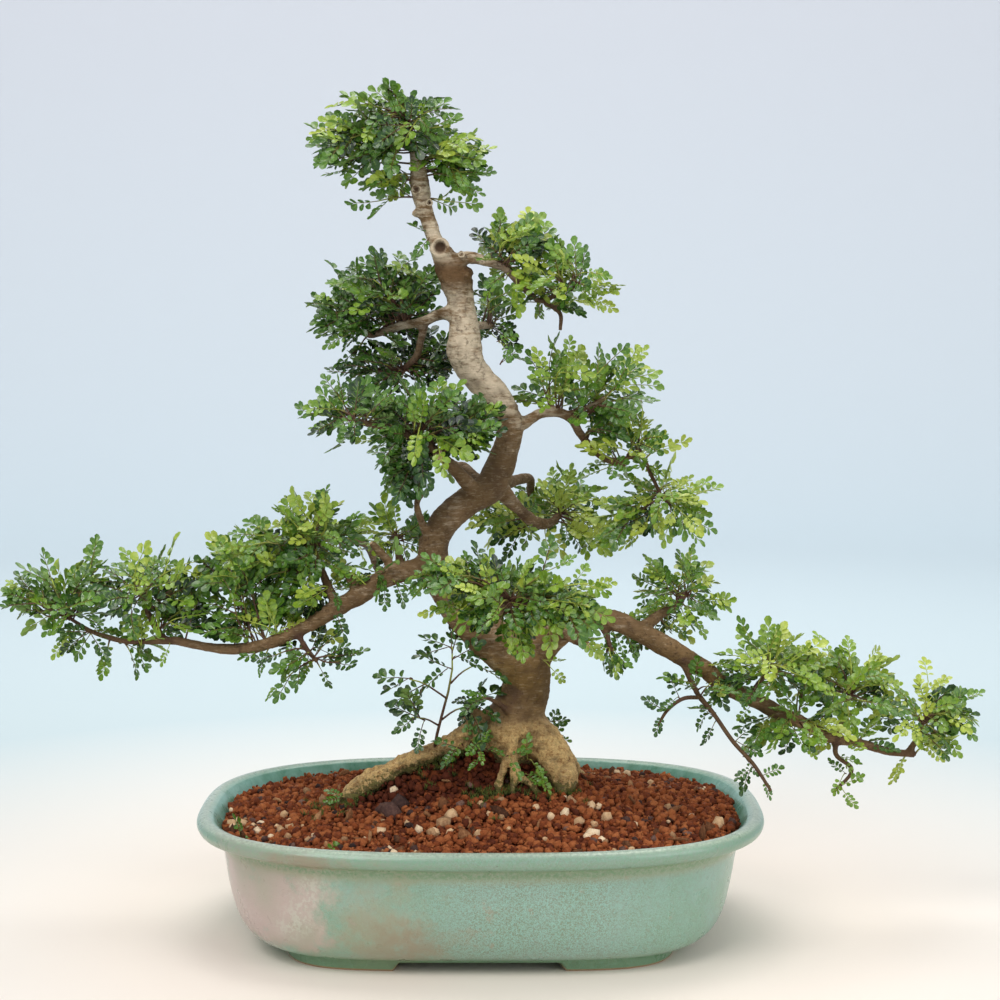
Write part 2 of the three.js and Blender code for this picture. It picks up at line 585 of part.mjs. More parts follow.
const group = new THREE.Group();
const woodSolid = wood();
const clearWood = wood(GAP);
const potSolid = pot();
const screens = [-1, 1].map((side) => screen(side));
let soilSolid = soil().subtract(clearWood);
for (const side of [-1, 1]) soilSolid = soilSolid.subtract(screen(side, GAP));
soilSolid = settle(soilSolid, BLADE_ROUNDING);

// Cores first, each cut clear of the wood and of the cores before it
const names = Object.keys(PADS);
const cores = new Map();
const clearCores = new Map();
for (const [i, name] of names.entries()) {
  const seed = SEEDS.core + i;
  let made = core(PADS[name], seed).subtract(clearWood);
  for (const other of clearCores.values()) made = made.subtract(other);
  cores.set(name, settle(made, BLADE_ROUNDING));
  clearCores.set(name, core(PADS[name], seed, GAP + CORE.rounding));
}

// Then the leaves: one that would meet wood, soil, pot or another pad is left out
const total = names.reduce((sum, name) => sum + PADS[name].map(area).reduce((a, b) => a + b), 0);
let taken = join([clearWood, potSolid, soilSolid]);
const sproutRoom = sprout(GAP);
const meets = (a, b) => !a.intersect(b).isEmpty();
const pads = new Map();
for (const [i, name] of names.entries()) {
  const chance = stream(SEEDS.leaves + i);
  const others = names.filter((n) => n !== name).map((n) => clearCores.get(n));
  const blocked = join([taken, sproutRoom, ...others]);
  const kept = [];
  const clear = [];
  for (const lobe of PADS[name]) {
    const count = Math.max(2, Math.round((LEAVES * area(lobe)) / total));
    for (let k = 0; k < count; k += 1) {
      for (let attempt = 0; attempt < TRIES; attempt += 1) {
        const turn = k * GOLDEN + chance();
        const { root, ahead, up, length } = leafSpot(lobe, (k + 0.5) / count, turn, chance);
        const wide = leaf(root, ahead, up, length, GAP);
        if (meets(wide, blocked) || kept.some((other) => meets(wide, other))) continue;
        kept.push(leaf(root, ahead, up, length));
        clear.push(wide);
        break;
      }
    }
  }
  pads.set(name, settle(join([cores.get(name), ...kept]), BLADE_ROUNDING));
  taken = join([taken, ...clear]);
}

// The sprout's leaves, under the same rule
const sproutLeaves = [];
for (const [place, way] of SPROUT_LEAVES) {
  const root = new THREE.Vector3(...place);
  const ahead = new THREE.Vector3(...way).normalize();
  const up = new THREE.Vector3(0, -0.6, 1).normalize();
  const wide = leaf(root, ahead, up, SPROUT_LEAF_LENGTH, GAP);
  if (meets(wide, taken)) continue;
  sproutLeaves.push(leaf(root, ahead, up, SPROUT_LEAF_LENGTH));
}
const stems = sprout().subtract(join([clearWood, ...clearCores.values()]));
pads.set("sprout", settle(join([stems, ...sproutLeaves]), BLADE_ROUNDING));

group.add(meshOf("pot", settle(potSolid, POT_ROUNDING), glaze));
group.add(meshOf("soil", soilSolid, soilFinish));
group.add(meshOf("wood", woodSolid, bark));
screens.forEach((made, i) => group.add(meshOf(`drain_screen_${i + 1}`, made, plastic)));
for (const [name, made] of pads) {
  group.add(meshOf(`foliage_${name}`, made, name === "front" ? shootGreen : leafGreen));
}
const box = new THREE.Box3().setFromObject(group);
const middle = box.getCenter(new THREE.Vector3());
group.position.set(-middle.x, -middle.y, 0);

export default group;
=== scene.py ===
"""Chinese pepper bonsai: the finished look of the tree, its soil and its pot, in Blender 4.5.

It is laid out as an add-on and is run as a script. The tables give places in millimetres from the
foot of the tree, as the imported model's own source does; everything that is built is in metres.
"""

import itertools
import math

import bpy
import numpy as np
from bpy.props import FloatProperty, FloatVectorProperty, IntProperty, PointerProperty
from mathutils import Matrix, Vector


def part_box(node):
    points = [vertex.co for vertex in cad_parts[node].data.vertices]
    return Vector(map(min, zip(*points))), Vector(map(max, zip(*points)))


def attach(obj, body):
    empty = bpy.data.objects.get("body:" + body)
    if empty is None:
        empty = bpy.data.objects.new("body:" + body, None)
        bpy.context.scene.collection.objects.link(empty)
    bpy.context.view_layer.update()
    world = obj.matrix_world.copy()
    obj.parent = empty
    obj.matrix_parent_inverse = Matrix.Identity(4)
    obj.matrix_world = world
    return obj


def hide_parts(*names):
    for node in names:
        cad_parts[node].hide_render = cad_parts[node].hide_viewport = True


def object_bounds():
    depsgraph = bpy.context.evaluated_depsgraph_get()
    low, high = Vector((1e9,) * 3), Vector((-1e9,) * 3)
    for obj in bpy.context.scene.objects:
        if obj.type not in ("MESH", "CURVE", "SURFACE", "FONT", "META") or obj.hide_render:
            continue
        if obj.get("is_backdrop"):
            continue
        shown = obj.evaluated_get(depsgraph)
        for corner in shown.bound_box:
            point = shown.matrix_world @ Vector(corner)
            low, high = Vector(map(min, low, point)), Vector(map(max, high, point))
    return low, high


bl_info = {
    "name": "Chinese Pepper Bonsai",
    "version": (1, 0, 0),
    "blender": (4, 5, 0),
    "location": "View3D > Sidebar > Bonsai",
    "description": "Builds a chinese pepper bonsai in a glazed oval pot",
    "category": "Add Mesh",
}

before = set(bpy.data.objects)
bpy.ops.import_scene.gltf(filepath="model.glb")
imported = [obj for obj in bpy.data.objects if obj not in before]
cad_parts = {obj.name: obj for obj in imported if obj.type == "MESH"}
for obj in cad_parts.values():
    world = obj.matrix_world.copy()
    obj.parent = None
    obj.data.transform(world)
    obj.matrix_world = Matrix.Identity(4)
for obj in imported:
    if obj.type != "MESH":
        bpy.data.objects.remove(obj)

# The whole model's box, and the pot's, from the frame
CAD_LOW, CAD_HIGH = (np.array(corner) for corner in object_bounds())
POT_LOW, POT_HIGH = (np.array(corner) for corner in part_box("pot"))

# A millimetre in metres, the pot's middle as x from the tree's foot, and the foot's own place
MM = 0.001
POT_X = -11.4
SHIFT = np.array([(POT_LOW[0] + POT_HIGH[0]) / 2 - POT_X * MM, (POT_LOW[1] + POT_HIGH[1]) / 2, 0.0])
# The pot's half length and half depth, then the heights of its foot and floor, and its drain holes
A, B = (POT_HIGH - POT_LOW)[:2] / 2 / MM
FOOT_HEIGHT = 5.0
FLOOR_TOP = 12.0
DRAIN_RADIUS = 9.0
DRAIN_SPACING = 110.0
# How wide the slots in the foot are, at the front and back and at the two ends
SLOT_ACROSS, SLOT_DEEP = 92.0, 62.0
# Soil: its height at the wall, and the mound round the tree
SOIL_EDGE = 68.0
MOUND_HEIGHT, MOUND_REACH, MOUND_STRETCH, MOUND_X = 20.0, 78.0, 1.25, 6.0
# A bank of soil along the left root and across the trunk's front: rows of x and height over the
# mound, where its crest runs, and how far it reaches to its front and back
BANK = np.array([
    [-95, 0], [-80, 7], [-62, 12], [-50, 16], [-35, 19], [-18, 21], [4, 18], [22, 9], [44, 0],
])
BANK_Y, BANK_FRONT, BANK_BACK = -6.0, 12.0, 20.0
# The golden angle, and the way up
GOLDEN = math.pi * (3 - math.sqrt(5))
UP = np.array([0.0, 0.0, 1.0])
# Large odd numbers that scatter a lattice cell's indices and the seed of the noise
HASH_X, HASH_Y, HASH_Z = 73856093, 19349663, 83492791
HASH_SEED, HASH_MIX = 2654435761, 1274126177

# Pot: rows of half length, half depth, height and superellipse exponent
FOOT_ROWS = [
    [A - 64.5, B - 46, FOOT_HEIGHT, 5], [A - 64.5, B - 46, 0.4, 5], [A - 64, B - 45.5, 0, 5],
    [A - 54.6, B - 36.2, 0, 5], [A - 54, B - 35.6, 0.6, 5], [A - 53.8, B - 35.4, 1.4, 4.9],
    [A - 53.4, B - 35.1, 3, 4.8], [A - 52.4, B - 34.6, 6.2, 4.6],
]
OUTSIDE_ROWS = [
    [A - 51, B - 34, 7.2, 4.6], [A - 43, B - 29, 8, 4.2], [A - 35, B - 24, 10.5, 3.8],
    [A - 28, B - 19.4, 15, 3.4], [A - 22.8, B - 15.4, 23, 3.1], [A - 18.8, B - 12, 38, 2.9],
    [A - 16.3, B - 10, 53, 2.8], [A - 14.6, B - 8.8, 60.5, 2.8], [A - 12.8, B - 7.6, 64.2, 2.8],
    [A - 8, B - 5, 65.6, 2.8], [A - 2.2, B - 1.6, 66.6, 2.8], [A - 0.1, B - 0.1, 69.4, 2.8],
    [A + 0.2, B + 0.2, 72.4, 2.8], [A - 2.4, B - 2, 75.5, 2.8], [A - 6, B - 5, 75.9, 2.8],
]
INSIDE_ROWS = [
    [A - 9.5, B - 8, 74.3, 2.8], [A - 11.5, B - 9.6, 71.5, 2.8], [A - 13.3, B - 11, 68, 2.8],
    [A - 25, B - 19, 53, 2.9], [A - 36, B - 27, 17, 3.3], [A - 56, B - 42, FLOOR_TOP, 4],
]

# Wood: routes of x, y, z and radius
TRUNK = [
    [10, 5, 56, 9], [10, 6, 72, 14], [9, 6, 90, 16], [8, 5, 103, 17], [7, 1, 116, 18.2],
    [10, 0, 130, 15.8], [15, 0, 143, 14.3], [14, -2, 157, 14.2], [3, -5, 168, 13.6],
    [-12, -9, 180, 11.8], [-24, -12, 193, 10.6], [-32, -14, 206, 10], [-38, -14, 219, 9.7],
    [-39, -13, 230, 8.8], [-35, -11, 240, 8.5], [-28, -8, 249, 8.5], [-18, -4, 256, 8.8],
    [-6, 0, 264, 9.4], [-1, 2, 274, 8.9], [4, 4, 286, 7.7], [6, 4, 295, 7.4], [6, 3, 304, 7.1],
    [3, 1, 311, 7.6], [-3, -1, 320, 8.3], [-12, -2, 328, 9], [-18, -3, 336, 9.3],
    [-21, -3, 345, 10.6], [-21, -2, 354, 9.1], [-22, 0, 363, 8.2], [-23, 1, 372, 7.7],
    [-26, 1, 384, 9], [-30, 0, 393, 8], [-34, -1, 401, 6.7], [-38.5, -1, 410, 4.5],
    [-41.5, 0, 419, 4.4], [-44.5, 0, 429, 4.9], [-46.5, 1, 438, 5.7], [-48, 2, 449, 4.6],
    [-51, 3, 465, 2.6], [-55, 2, 480, 1.2],
]
RIGHT_BRANCH = [
    [14, 0, 156, 13], [25, -4, 171, 10.7], [38, -9, 182, 8], [50, -13, 188, 6.3],
    [68, -18, 187, 6.1], [85, -21, 179, 5.8], [96, -23, 173, 6.1], [109, -24, 166, 5.8],
    [118, -25, 161, 5.5], [131, -25, 150, 5], [150, -24, 141, 4.7], [166, -22, 132, 4.4],
    [176, -21, 128, 4.1], [195, -19, 118, 3.2], [214, -17, 114, 2.8], [229, -15, 109, 2.4],
    [245, -14, 107, 2.1],
]
LEFT_BRANCH = [
    [-36, -14, 219, 8], [-47, -17, 218, 6.7], [-67, -22, 213, 5.5], [-81, -25, 204, 5.2],
    [-99, -27, 194, 4.9], [-113, -28, 186, 4.6], [-128, -28, 178, 3.8], [-145, -27, 173, 3.3],
    [-162, -25, 172, 3.2], [-178, -23, 174, 2.8], [-190, -21, 176, 2.6], [-205, -18, 175, 1.9],
    [-222, -15, 175, 1.5], [-240, -12, 180, 1.3], [-254, -10, 188, 1],
]
ROOTS = [
    [[-1, -2, 120, 16], [-13, -4, 118, 10.5], [-25, -5, 113.5, 7], [-38, -6, 107, 6],
     [-50, -7, 103, 6], [-63, -7, 96, 6], [-75, -7, 90, 6.6], [-85, -7, 83, 7], [-92, -7, 74, 6.6],
     [-95, -7, 64, 5]],
    [[18, -4, 119, 12.5], [27, -8, 112, 10.8], [33, -12, 104, 9.8], [37, -15, 94, 8.4],
     [36, -17, 84, 6.8], [34, -18, 68, 5]],
    [[12, 14, 112, 14], [17, 38, 98, 12.3], [24, 58, 82, 8.8], [32, 74, 66, 5.8]],
    [[-3, 12, 113, 13.2], [-13, 32, 100, 9.4], [-24, 50, 84, 6.6], [-32, 62, 68, 4.5]],
    [[20, 8, 114, 11.4], [33, 24, 100, 8.6], [44, 42, 84, 6.2], [52, 56, 66, 4]],
]
FINE_ROOTS = [
    [[7, -13, 119, 4.6], [7, -19, 107, 3.4], [10, -22, 98, 2.7], [18, -25, 91, 2.4],
     [28, -28, 80, 2.1]],
    [[6, -17, 110, 3.2], [2, -22, 102, 2.4], [0, -25, 94, 2.2], [-3, -28, 80, 2]],
    [[9, -20, 102, 2.6], [8, -24, 93, 2.2], [8, -28, 82, 1.8]],
]
BRANCHES = [
    [[-26, 0, 396, 4.6], [-20, -2, 399, 3.8], [-10, -4, 397, 3.1], [3, -6, 392, 2.5],
     [13, -7, 382, 2.2], [23, -7, 374, 2], [36, -6, 379, 1.5], [45, -5, 383, 1.2]],
    [[-25, 0, 367, 5.3], [-33, 3, 366, 4.1], [-47, 9, 361, 3.2], [-58, 16, 359, 3],
     [-67, 22, 356, 2.7], [-79, 30, 353, 2.1], [-90, 38, 361, 1.5]],
    [[-44, 8, 361, 2.7], [-47, 14, 350, 2.4], [-49, 18, 342, 2.2], [-55, 24, 335, 2.1],
     [-60, 30, 330, 1.5]],
    [[-22, 2, 357, 4.7], [-17, 30, 358, 3.3], [-9, 60, 358, 2.4], [-4, 82, 357, 1.6]],
    [[-13, -6, 260, 5], [-22, -22, 272, 3.8], [-34, -38, 286, 3.1], [-48, -47, 297, 2.6],
     [-66, -54, 303, 2], [-82, -56, 307, 1.4]],
    [[5, 3, 301, 5.3], [12, 5, 301, 3.8], [24, 8, 307, 3.4], [37, 10, 307, 3], [43, 11, 303, 2.8],
     [47, 12, 296, 2.8], [55, 13, 286, 2.7], [61, 13, 281, 2.5], [74, 12, 276, 2.4]],
    [[-2, 4, 266, 6.5], [4, 12, 257, 4.8], [11, 26, 249, 3.9], [20, 44, 239, 3.7],
     [30, 60, 236, 3.1], [38, 76, 240, 2]],
    [[0, 4, 272, 5.3], [5, 36, 264, 3.9], [18, 68, 263, 3.1], [20, 100, 248, 2.4], [28, 127, 240, 1.5]],
    [[-8, 2, 262, 5.3], [-22, 34, 272, 3.9], [-26, 68, 270, 3.1], [-46, 100, 280, 2.4],
     [-54, 123, 282, 1.5]],
    [[12, 4, 158, 7.8], [20, 42, 168, 5.6], [8, 78, 162, 4.1], [16, 112, 172, 2.8], [14, 137, 175, 1.6]],
    [[-18, -16, 187, 6.4], [-9, -45, 193, 4.6], [0, -75, 201, 3.4], [4, -100, 208, 2.4],
     [6, -117, 213, 1.5]],
    [[82, -20, 182, 4.1], [95, -8, 190, 3.2], [105, 2, 194, 2.4], [111, 8, 199, 1.5]],
    [[146, -24, 143, 3], [152, -29, 154, 2], [156, -34, 163, 1.4]],
    [[197, -19, 119, 2.6], [203, -12, 131, 1.8], [207, -7, 142, 1.2]],
    [[240, -14, 107, 2], [248, -11, 118, 1.6], [251, -9, 128, 1.2]],
    [[-56, -19, 217, 3], [-60, -4, 225, 2.2], [-62, 12, 233, 1.4]],
    [[-95, -26, 197, 3.4], [-103, -18, 214, 2.4], [-110, -10, 231, 1.5]],
    [[-58, -19, 215, 4], [-72, 16, 212, 2.8], [-82, 52, 223, 2.2], [-103, 90, 222, 1.5]],
    [[-196, -20, 176, 2.4], [-205, -14, 188, 1.8], [-211, -8, 201, 1.2]],
    [[-118, -28, 183, 2.2], [-113, -31, 174, 1.6], [-106, -34, 166, 1.1]],
    [[6, -14, 132, 2.6], [0, -21, 138, 1.8], [-5, -26, 142, 1.1]],
    [[60, -18, 184, 2.4], [63, -21, 177, 1.6], [65, -24, 170, 1.1]],
]
TWIGS = [
    [[107, -26, 163, 2.3], [116, -34, 145, 1.7], [122, -37, 138, 1.4], [135, -42, 120, 1.3],
     [146, -45, 108, 1.2], [156, -47, 93, 0.9]],
    [[116, -34, 145, 1.3], [106, -38, 145, 1.2], [96, -41, 138, 1], [91, -43, 130, 0.8]],
    [[198, -19, 118, 1.8], [197, -22, 109, 1.5], [206, -25, 101, 1.2], [195, -28, 87, 0.9]],
    [[68, 12, 278, 1.5], [84, 12, 281, 1.3], [90, 13, 270, 1.2], [97, 14, 256, 1]],
    [[26, -7, 373, 1.6], [35, -9, 366, 1.3], [35, -10, 357, 1]],
]
# Pruned stubs: each ends in a pale cut
STUBS = [
    [[-42, -14, 236, 2.9], [-46, -26, 249, 2.3], [-48, -32, 258, 2.3], [-45, -34, 265, 2.3]],
    [[30, 9, 306, 2.3], [30, 10, 316, 1.7]],
    [[40, 10, 306, 2.4], [50, 10, 310, 2], [62, 9, 316, 1.8]],
    [[-61, -20, 214, 3], [-66, -22, 224, 2.4], [-75, -24, 234, 2.2]],
    [[31, -9, 178, 4.1], [41, -26, 179, 3.2], [51, -34, 175, 2.6]],
    [[-81, -25, 204, 3.2], [-88, -24, 214, 2.4], [-92, -22, 221, 2]],
    [[-42, 0, 421, 2.6], [-50, -3, 425, 2.3]],
]
# Burls: place and radius, then the rows of a burl as rise and width in shares of its radius
BURLS = [
    [-17, -6, 129, 7], [-42, -12, 214, 8], [-25, -7, 349, 6], [-14, -8, 341, 5], [22, -8, 142, 6],
    [-22, -9.5, 351, 3.4], [-26, -8.5, 341, 3.2], [-31, 0, 389, 6.4], [-22, 0, 388, 6.2],
]
BURL_ROWS = [(-0.7, 0.55), (-0.3, 0.9), (0.3, 0.9), (0.7, 0.55)]
# Pruning scars, all facing the front: place, radius of the callus ring, and the radius and the depth
# of the hollow in it
SCARS = [
    [-34.8, -7.5, 404.5, 4.8, 3.8, 2.2], [-48.6, -4.4, 438, 2.5, 1.6, 1.2],
    [-22.4, -7.5, 400.6, 1.6, 0.9, 1.2], [-41, -3.4, 430.5, 1.7, 0.9, 1.2],
]

# Foliage: lobes of x, y, z and half sizes, and the far tips of single shoots
PADS = {
    "crown": [[-56, 0, 474, 34, 40, 26], [-89, -6, 462, 20, 30, 21], [-29, 4, 454, 20, 32, 25],
              [-62, -6, 444, 16, 22, 9]],
    "right_top": [[36, -6, 386, 31, 34, 19], [8, 2, 406, 30, 32, 17], [4, -4, 388, 18, 24, 11],
                  [30, -6, 372, 20, 24, 8]],
    "left_top": [[-66, 20, 378, 36, 34, 24], [-93, 38, 366, 21, 28, 17], [-72, 30, 355, 36, 24, 10]],
    "left_middle": [[-61, 32, 332, 32, 30, 16], [-44, 30, 338, 18, 22, 14]],
    "back_top": [[-4, 82, 357, 16, 28, 21], [-6, 60, 372, 10, 20, 10]],
    "left_front": [[-42, -44, 302, 36, 34, 25], [-81, -52, 309, 26, 30, 15], [-18, -38, 302, 20, 20, 18],
                   [-50, -44, 278, 20, 24, 10]],
    "right_upper": [[35, 6, 332, 24, 32, 18], [68, 8, 322, 28, 32, 22]],
    "right_middle": [[73, 12, 282, 26, 30, 20], [98, 14, 253, 32, 34, 25], [84, 12, 292, 16, 24, 12],
                     [57, 12, 298, 12, 20, 9], [72, 14, 240, 18, 24, 12]],
    "back_right": [[39, 78, 246, 35, 34, 21], [16, 60, 232, 26, 26, 15], [-8, 52, 243, 17, 22, 14]],
    "back_middle": [[28, 128, 236, 35, 38, 22], [52, 70, 230, 22, 28, 11]],
    "back_left": [[-54, 124, 282, 36, 38, 25]],
    "back_low": [[14, 138, 175, 40, 38, 26]],
    "front": [[2, -114, 213, 38, 32, 19], [36, -112, 209, 22, 28, 14], [-26, -112, 226, 24, 24, 12],
              [8, -108, 195, 16, 20, 7]],
    "low_right": [[106, 8, 200, 28, 34, 25], [91, 0, 182, 24, 26, 13]],
    "right_inner": [[156, -34, 161, 30, 34, 22], [122, -32, 153, 24, 20, 11], [170, -32, 127, 32, 24, 12]],
    "right_outer": [[207, -6, 142, 30, 36, 23], [184, -14, 154, 16, 20, 19], [208, -16, 115, 24, 20, 9]],
    "right_tip": [[248, -8, 129, 28, 32, 19], [266, -8, 129, 16, 22, 11], [256, -12, 116, 20, 20, 8]],
    "left_inner": [[-60, 14, 231, 22, 28, 18], [-70, -26, 213, 22, 20, 10]],
    "left_mound": [[-110, -8, 234, 28, 38, 27], [-148, -8, 216, 28, 34, 24], [-136, -22, 186, 38, 22, 13],
                   [-104, -20, 206, 24, 22, 13], [-176, -10, 208, 12, 18, 12]],
    "left_back": [[-104, 92, 222, 30, 32, 23]],
    "left_outer": [[-212, -6, 202, 31, 34, 23], [-192, -14, 187, 24, 22, 13], [-210, -14, 173, 14, 18, 9]],
    "left_tip": [[-250, -8, 198, 26, 32, 21], [-276, -8, 199, 15, 20, 11], [-242, -12, 178, 22, 20, 9]],
    "left_hanging": [[-110, -33, 170, 32, 22, 14]],
    "neck_tuft": [[-14, -26, 141, 13, 12, 8]],
    "right_tuft": [[65, -24, 169, 12, 12, 8]],
}
TIPS = {
    "crown": [[-64, 2, 510], [-59, -3, 510], [-68, 6, 502], [-54, -8, 503], [-91, 0, 503],
              [-86, 4, 498], [-109, -10, 478], [-118, 4, 470], [-106, -8, 443], [-88, -6, 424],
              [-19, -2, 416], [-1, -4, 447], [-4, 8, 465], [-29, 6, 492]],
    "right_top": [[71, -10, 380], [60, 0, 393], [40, -4, 414], [16, -8, 425], [-8, -2, 425],
                  [65, -12, 366], [28, 10, 424], [70, -4, 366]],
    "left_top": [[-96, 30, 400], [-71, 18, 403], [-113, 34, 380], [-111, 40, 360], [-83, 36, 402]],
    "left_middle": [[-103, 40, 347], [-107, 36, 329], [-88, 20, 319]],
    "left_front": [[-119, -48, 311], [-102, -50, 335], [-93, -50, 284], [-73, -46, 278],
                   [-40, -30, 272], [-109, -60, 302]],
    "right_upper": [[66, 0, 352], [35, 6, 344], [99, 10, 321], [18, -4, 344], [82, 4, 344],
                    [92, 10, 303]],
    "right_middle": [[128, 6, 246], [123, 20, 267], [114, 12, 288], [83, 0, 221], [119, 10, 229],
                     [99, 4, 283]],
    "front": [[-43, -124, 205], [-44, -118, 227], [64, -122, 230], [56, -118, 184],
              [-16, -128, 237], [32, -130, 246], [-32, -134, 217]],
    "low_right": [[140, 10, 192], [119, 4, 228], [88, 0, 221], [133, 16, 207]],
    "right_inner": [[128, -40, 180], [139, -32, 193], [174, -30, 188], [154, -40, 190]],
    "right_outer": [[209, -2, 178], [226, -10, 169], [194, 0, 173], [227, 10, 171]],
    "right_tip": [[256, -10, 168], [287, -6, 148], [291, -8, 119], [273, -12, 109], [238, -14, 98],
                  [223, -14, 90], [283, 0, 137]],
    "left_inner": [[-82, 10, 252], [-41, 14, 250], [-64, 4, 257]],
    "left_mound": [[-102, -10, 271], [-122, -4, 264], [-156, -14, 250], [-179, -8, 236],
                   [-137, 4, 262]],
    "left_outer": [[-200, -4, 229], [-217, -10, 231], [-185, 0, 221]],
    "left_tip": [[-233, -8, 236], [-262, -10, 229], [-294, -8, 215], [-292, -4, 188],
                 [-284, -14, 183], [-271, -10, 169], [-247, -14, 160], [-222, -20, 153],
                 [-201, -18, 159]],
    "left_hanging": [[-139, -34, 143], [-78, -34, 170], [-96, -30, 149], [-151, -36, 164],
                     [-115, -40, 150]],
}
# How full a pad is beside the rest, which have 1
FULLNESS = {
    "crown": 0.86, "right_top": 0.95, "left_top": 1.2, "left_middle": 1.65, "left_front": 1.45,
    "right_upper": 0.36, "right_middle": 0.62, "back_right": 0.66, "back_middle": 0.6, "front": 1.36,
    "low_right": 0.92, "right_outer": 0.78, "right_tip": 0.7, "left_mound": 1.16, "left_outer": 0.84,
    "left_tip": 0.7, "left_hanging": 0.6, "right_tuft": 0.5, "neck_tuft": 0.5, "back_left": 0.6,
    "back_low": 0.6, "left_back": 0.6,
}
# How much lighter, or darker below 0, a pad's leaves are than the others'
TONE = {
    "right_top": 0.04, "left_top": -0.12, "left_middle": -0.36, "back_top": -0.2, "left_front": -0.15,
    "right_upper": 0.08, "right_middle": 0.18, "back_right": 0.1, "back_middle": 0.1, "low_right": 0.15,
    "right_inner": 0.16, "right_outer": 0.14, "right_tip": 0.12, "left_mound": 0.05, "left_hanging": -0.32,
    "neck_tuft": -0.35,
}
# Where the light the leaves grew in comes from
LIGHT = np.array([0.0, -0.76, 0.65])
# Pads whose leaves are smaller, as a share of the full length
SMALL = {"front": 0.88, "neck_tuft": 0.75, "right_tuft": 0.75, "left_hanging": 0.85}
# How much of a pad is young, bright growth; the rest of the pads have BRIGHT_SHARE
BRIGHT_SHARE = 0.14
BRIGHT = {
    "front": 0.42, "right_top": 0.45, "right_tip": 0.3, "right_outer": 0.25, "left_mound": 0.12,
    "right_middle": 0.25, "left_front": 0.12, "left_top": 0.05, "left_middle": 0.0, "crown": 0.1,
    "back_low": 0.1,
}
# Sprout on the left root: stems, then its leafy side shoots as start and tip
SPROUT_STEMS = [
    [[-39, -8, 108, 1.1], [-36, -13, 124, 0.95], [-31, -16, 142, 0.8], [-28, -17, 158, 0.6],
     [-28, -18, 172, 0.45]],
    [[-31.5, -16, 141, 0.7], [-38, -18, 146, 0.6], [-46, -19, 151, 0.5], [-53, -20, 153, 0.4]],
    [[-29, -17, 150, 0.7], [-22, -18, 157, 0.5], [-15, -18, 161, 0.4]],
    [[-35, -13, 127, 0.7], [-26, -16, 134, 0.55], [-17, -18, 137, 0.45]],
    [[-36, -13, 124, 0.7], [-44, -17, 129, 0.5], [-52, -18, 130, 0.4]],
]
SPROUT_TIPS = [
    [[-28, -18, 168], [-30, -18, 186], 0.1], [[-28, -18, 170], [-42, -18, 178], 0.0],
    [[-28, -18, 164], [-15, -18, 176], 0.0], [[-28, -17, 158], [-42, -19, 163], 0.0],
    [[-15, -18, 160], [-5, -19, 163], 0.1], [[-51, -20, 153], [-63, -20, 156], 0.0],
    [[-44, -19, 150], [-51, -20, 142], 0.0], [[-18, -18, 137], [-3, -19, 143], 0.0],
    [[-20, -17, 136], [-9, -20, 130], 0.0], [[-47, -18, 130], [-57, -19, 133], 0.0],
    [[-44, -17, 128], [-50, -19, 119], 0.0],
]
# Sprigs that grow straight from the wood, and weeds between the roots: start, tip, share of youth
SPRIGS = [
    [[-38, -4, 412], [-49, -7, 407], 0.3],
    [[62, -20, 185], [78, -22, 166], 0.3], [[70, -20, 182], [86, -24, 168], 0.2],
    [[-96, -30, 196], [-92, -34, 177], 0.2], [[-66, -24, 212], [-70, -30, 201], 0.1],
    [[-120, -30, 182], [-126, -34, 168], 0.6], [[-192, -22, 176], [-198, -24, 161], 0.7],
    [[130, -27, 150], [118, -33, 140], 0.5], [[150, -26, 141], [133, -32, 131], 0.9],
    [[170, -24, 130], [186, -30, 106], 0.9], [[135, -42, 120], [147, -44, 122], 0.2],
    [[150, -46, 101], [158, -47, 90], 0.5], [[122, -37, 138], [112, -40, 132], 0.1],
    [[96, -41, 138], [86, -44, 129], 0.1], [[104, -38, 145], [93, -44, 148], 0.1],
    [[126, -37, 132], [115, -40, 121], 0.1], [[140, -43, 112], [151, -46, 105], 0.2],
    [[146, -45, 106], [137, -47, 95], 0.1], [[199, -27, 91], [207, -30, 80], 0.5],
    [[197, -22, 108], [211, -26, 103], 0.7], [[203, -25, 98], [192, -28, 91], 0.6],
    [[22, -12, 164], [42, -24, 152], 0.8],
    [[-2, -8, 350], [14, -8, 342], 0.3], [[0, 6, 336], [14, 4, 352], 0.3],
]
WEEDS = [
    [[-24, -20, 112], [-34, -34, 112], 0.3], [[-14, -22, 112], [-4, -38, 114], 0.5],
    [[-10, -20, 114], [-18, -36, 124], 0.5], [[4, -24, 108], [14, -38, 106], 0.4],
    [[-18, -14, 112], [-12, -26, 128], 0.5], [[-14, -16, 108], [2, -28, 120], 0.4],
    [[-22, -12, 112], [-30, -24, 118], 0.4], [[-10, -18, 106], [-22, -32, 108], 0.3],
    [[16, -20, 104], [28, -32, 110], 0.6], [[20, -22, 98], [32, -34, 94], 0.7],
    [[14, -22, 96], [22, -34, 104], 0.4], [[28, 12, 118], [30, 12, 134], 0.3],
    [[30, 10, 112], [40, 8, 118], 0.3], [[-92, -14, 80], [-99, -16, 88], 0.5],
    [[-148, -62, 70], [-146, -66, 76], 0.5], [[-86, -88, 68], [-84, -92, 73], 0.6],
]


# Shapes

def in_metres(rows):
    """Rows of x, y, z and any radii in millimetres from the foot of the tree, as metres in the frame."""
    rows = np.array(rows, float) * MM
    rows[..., :3] += SHIFT
    return rows


def unit(vectors):
    """Each vector divided by its own length."""
    return vectors / np.maximum(np.linalg.norm(vectors, axis=-1, keepdims=True), 1e-12)


def smooth_step(low, high, values):
    """0 below low, 1 above high, and three squares less two cubes of the share between them."""
    share = np.clip((values - low) / (high - low), 0, 1)
    return share * share * (3 - 2 * share)


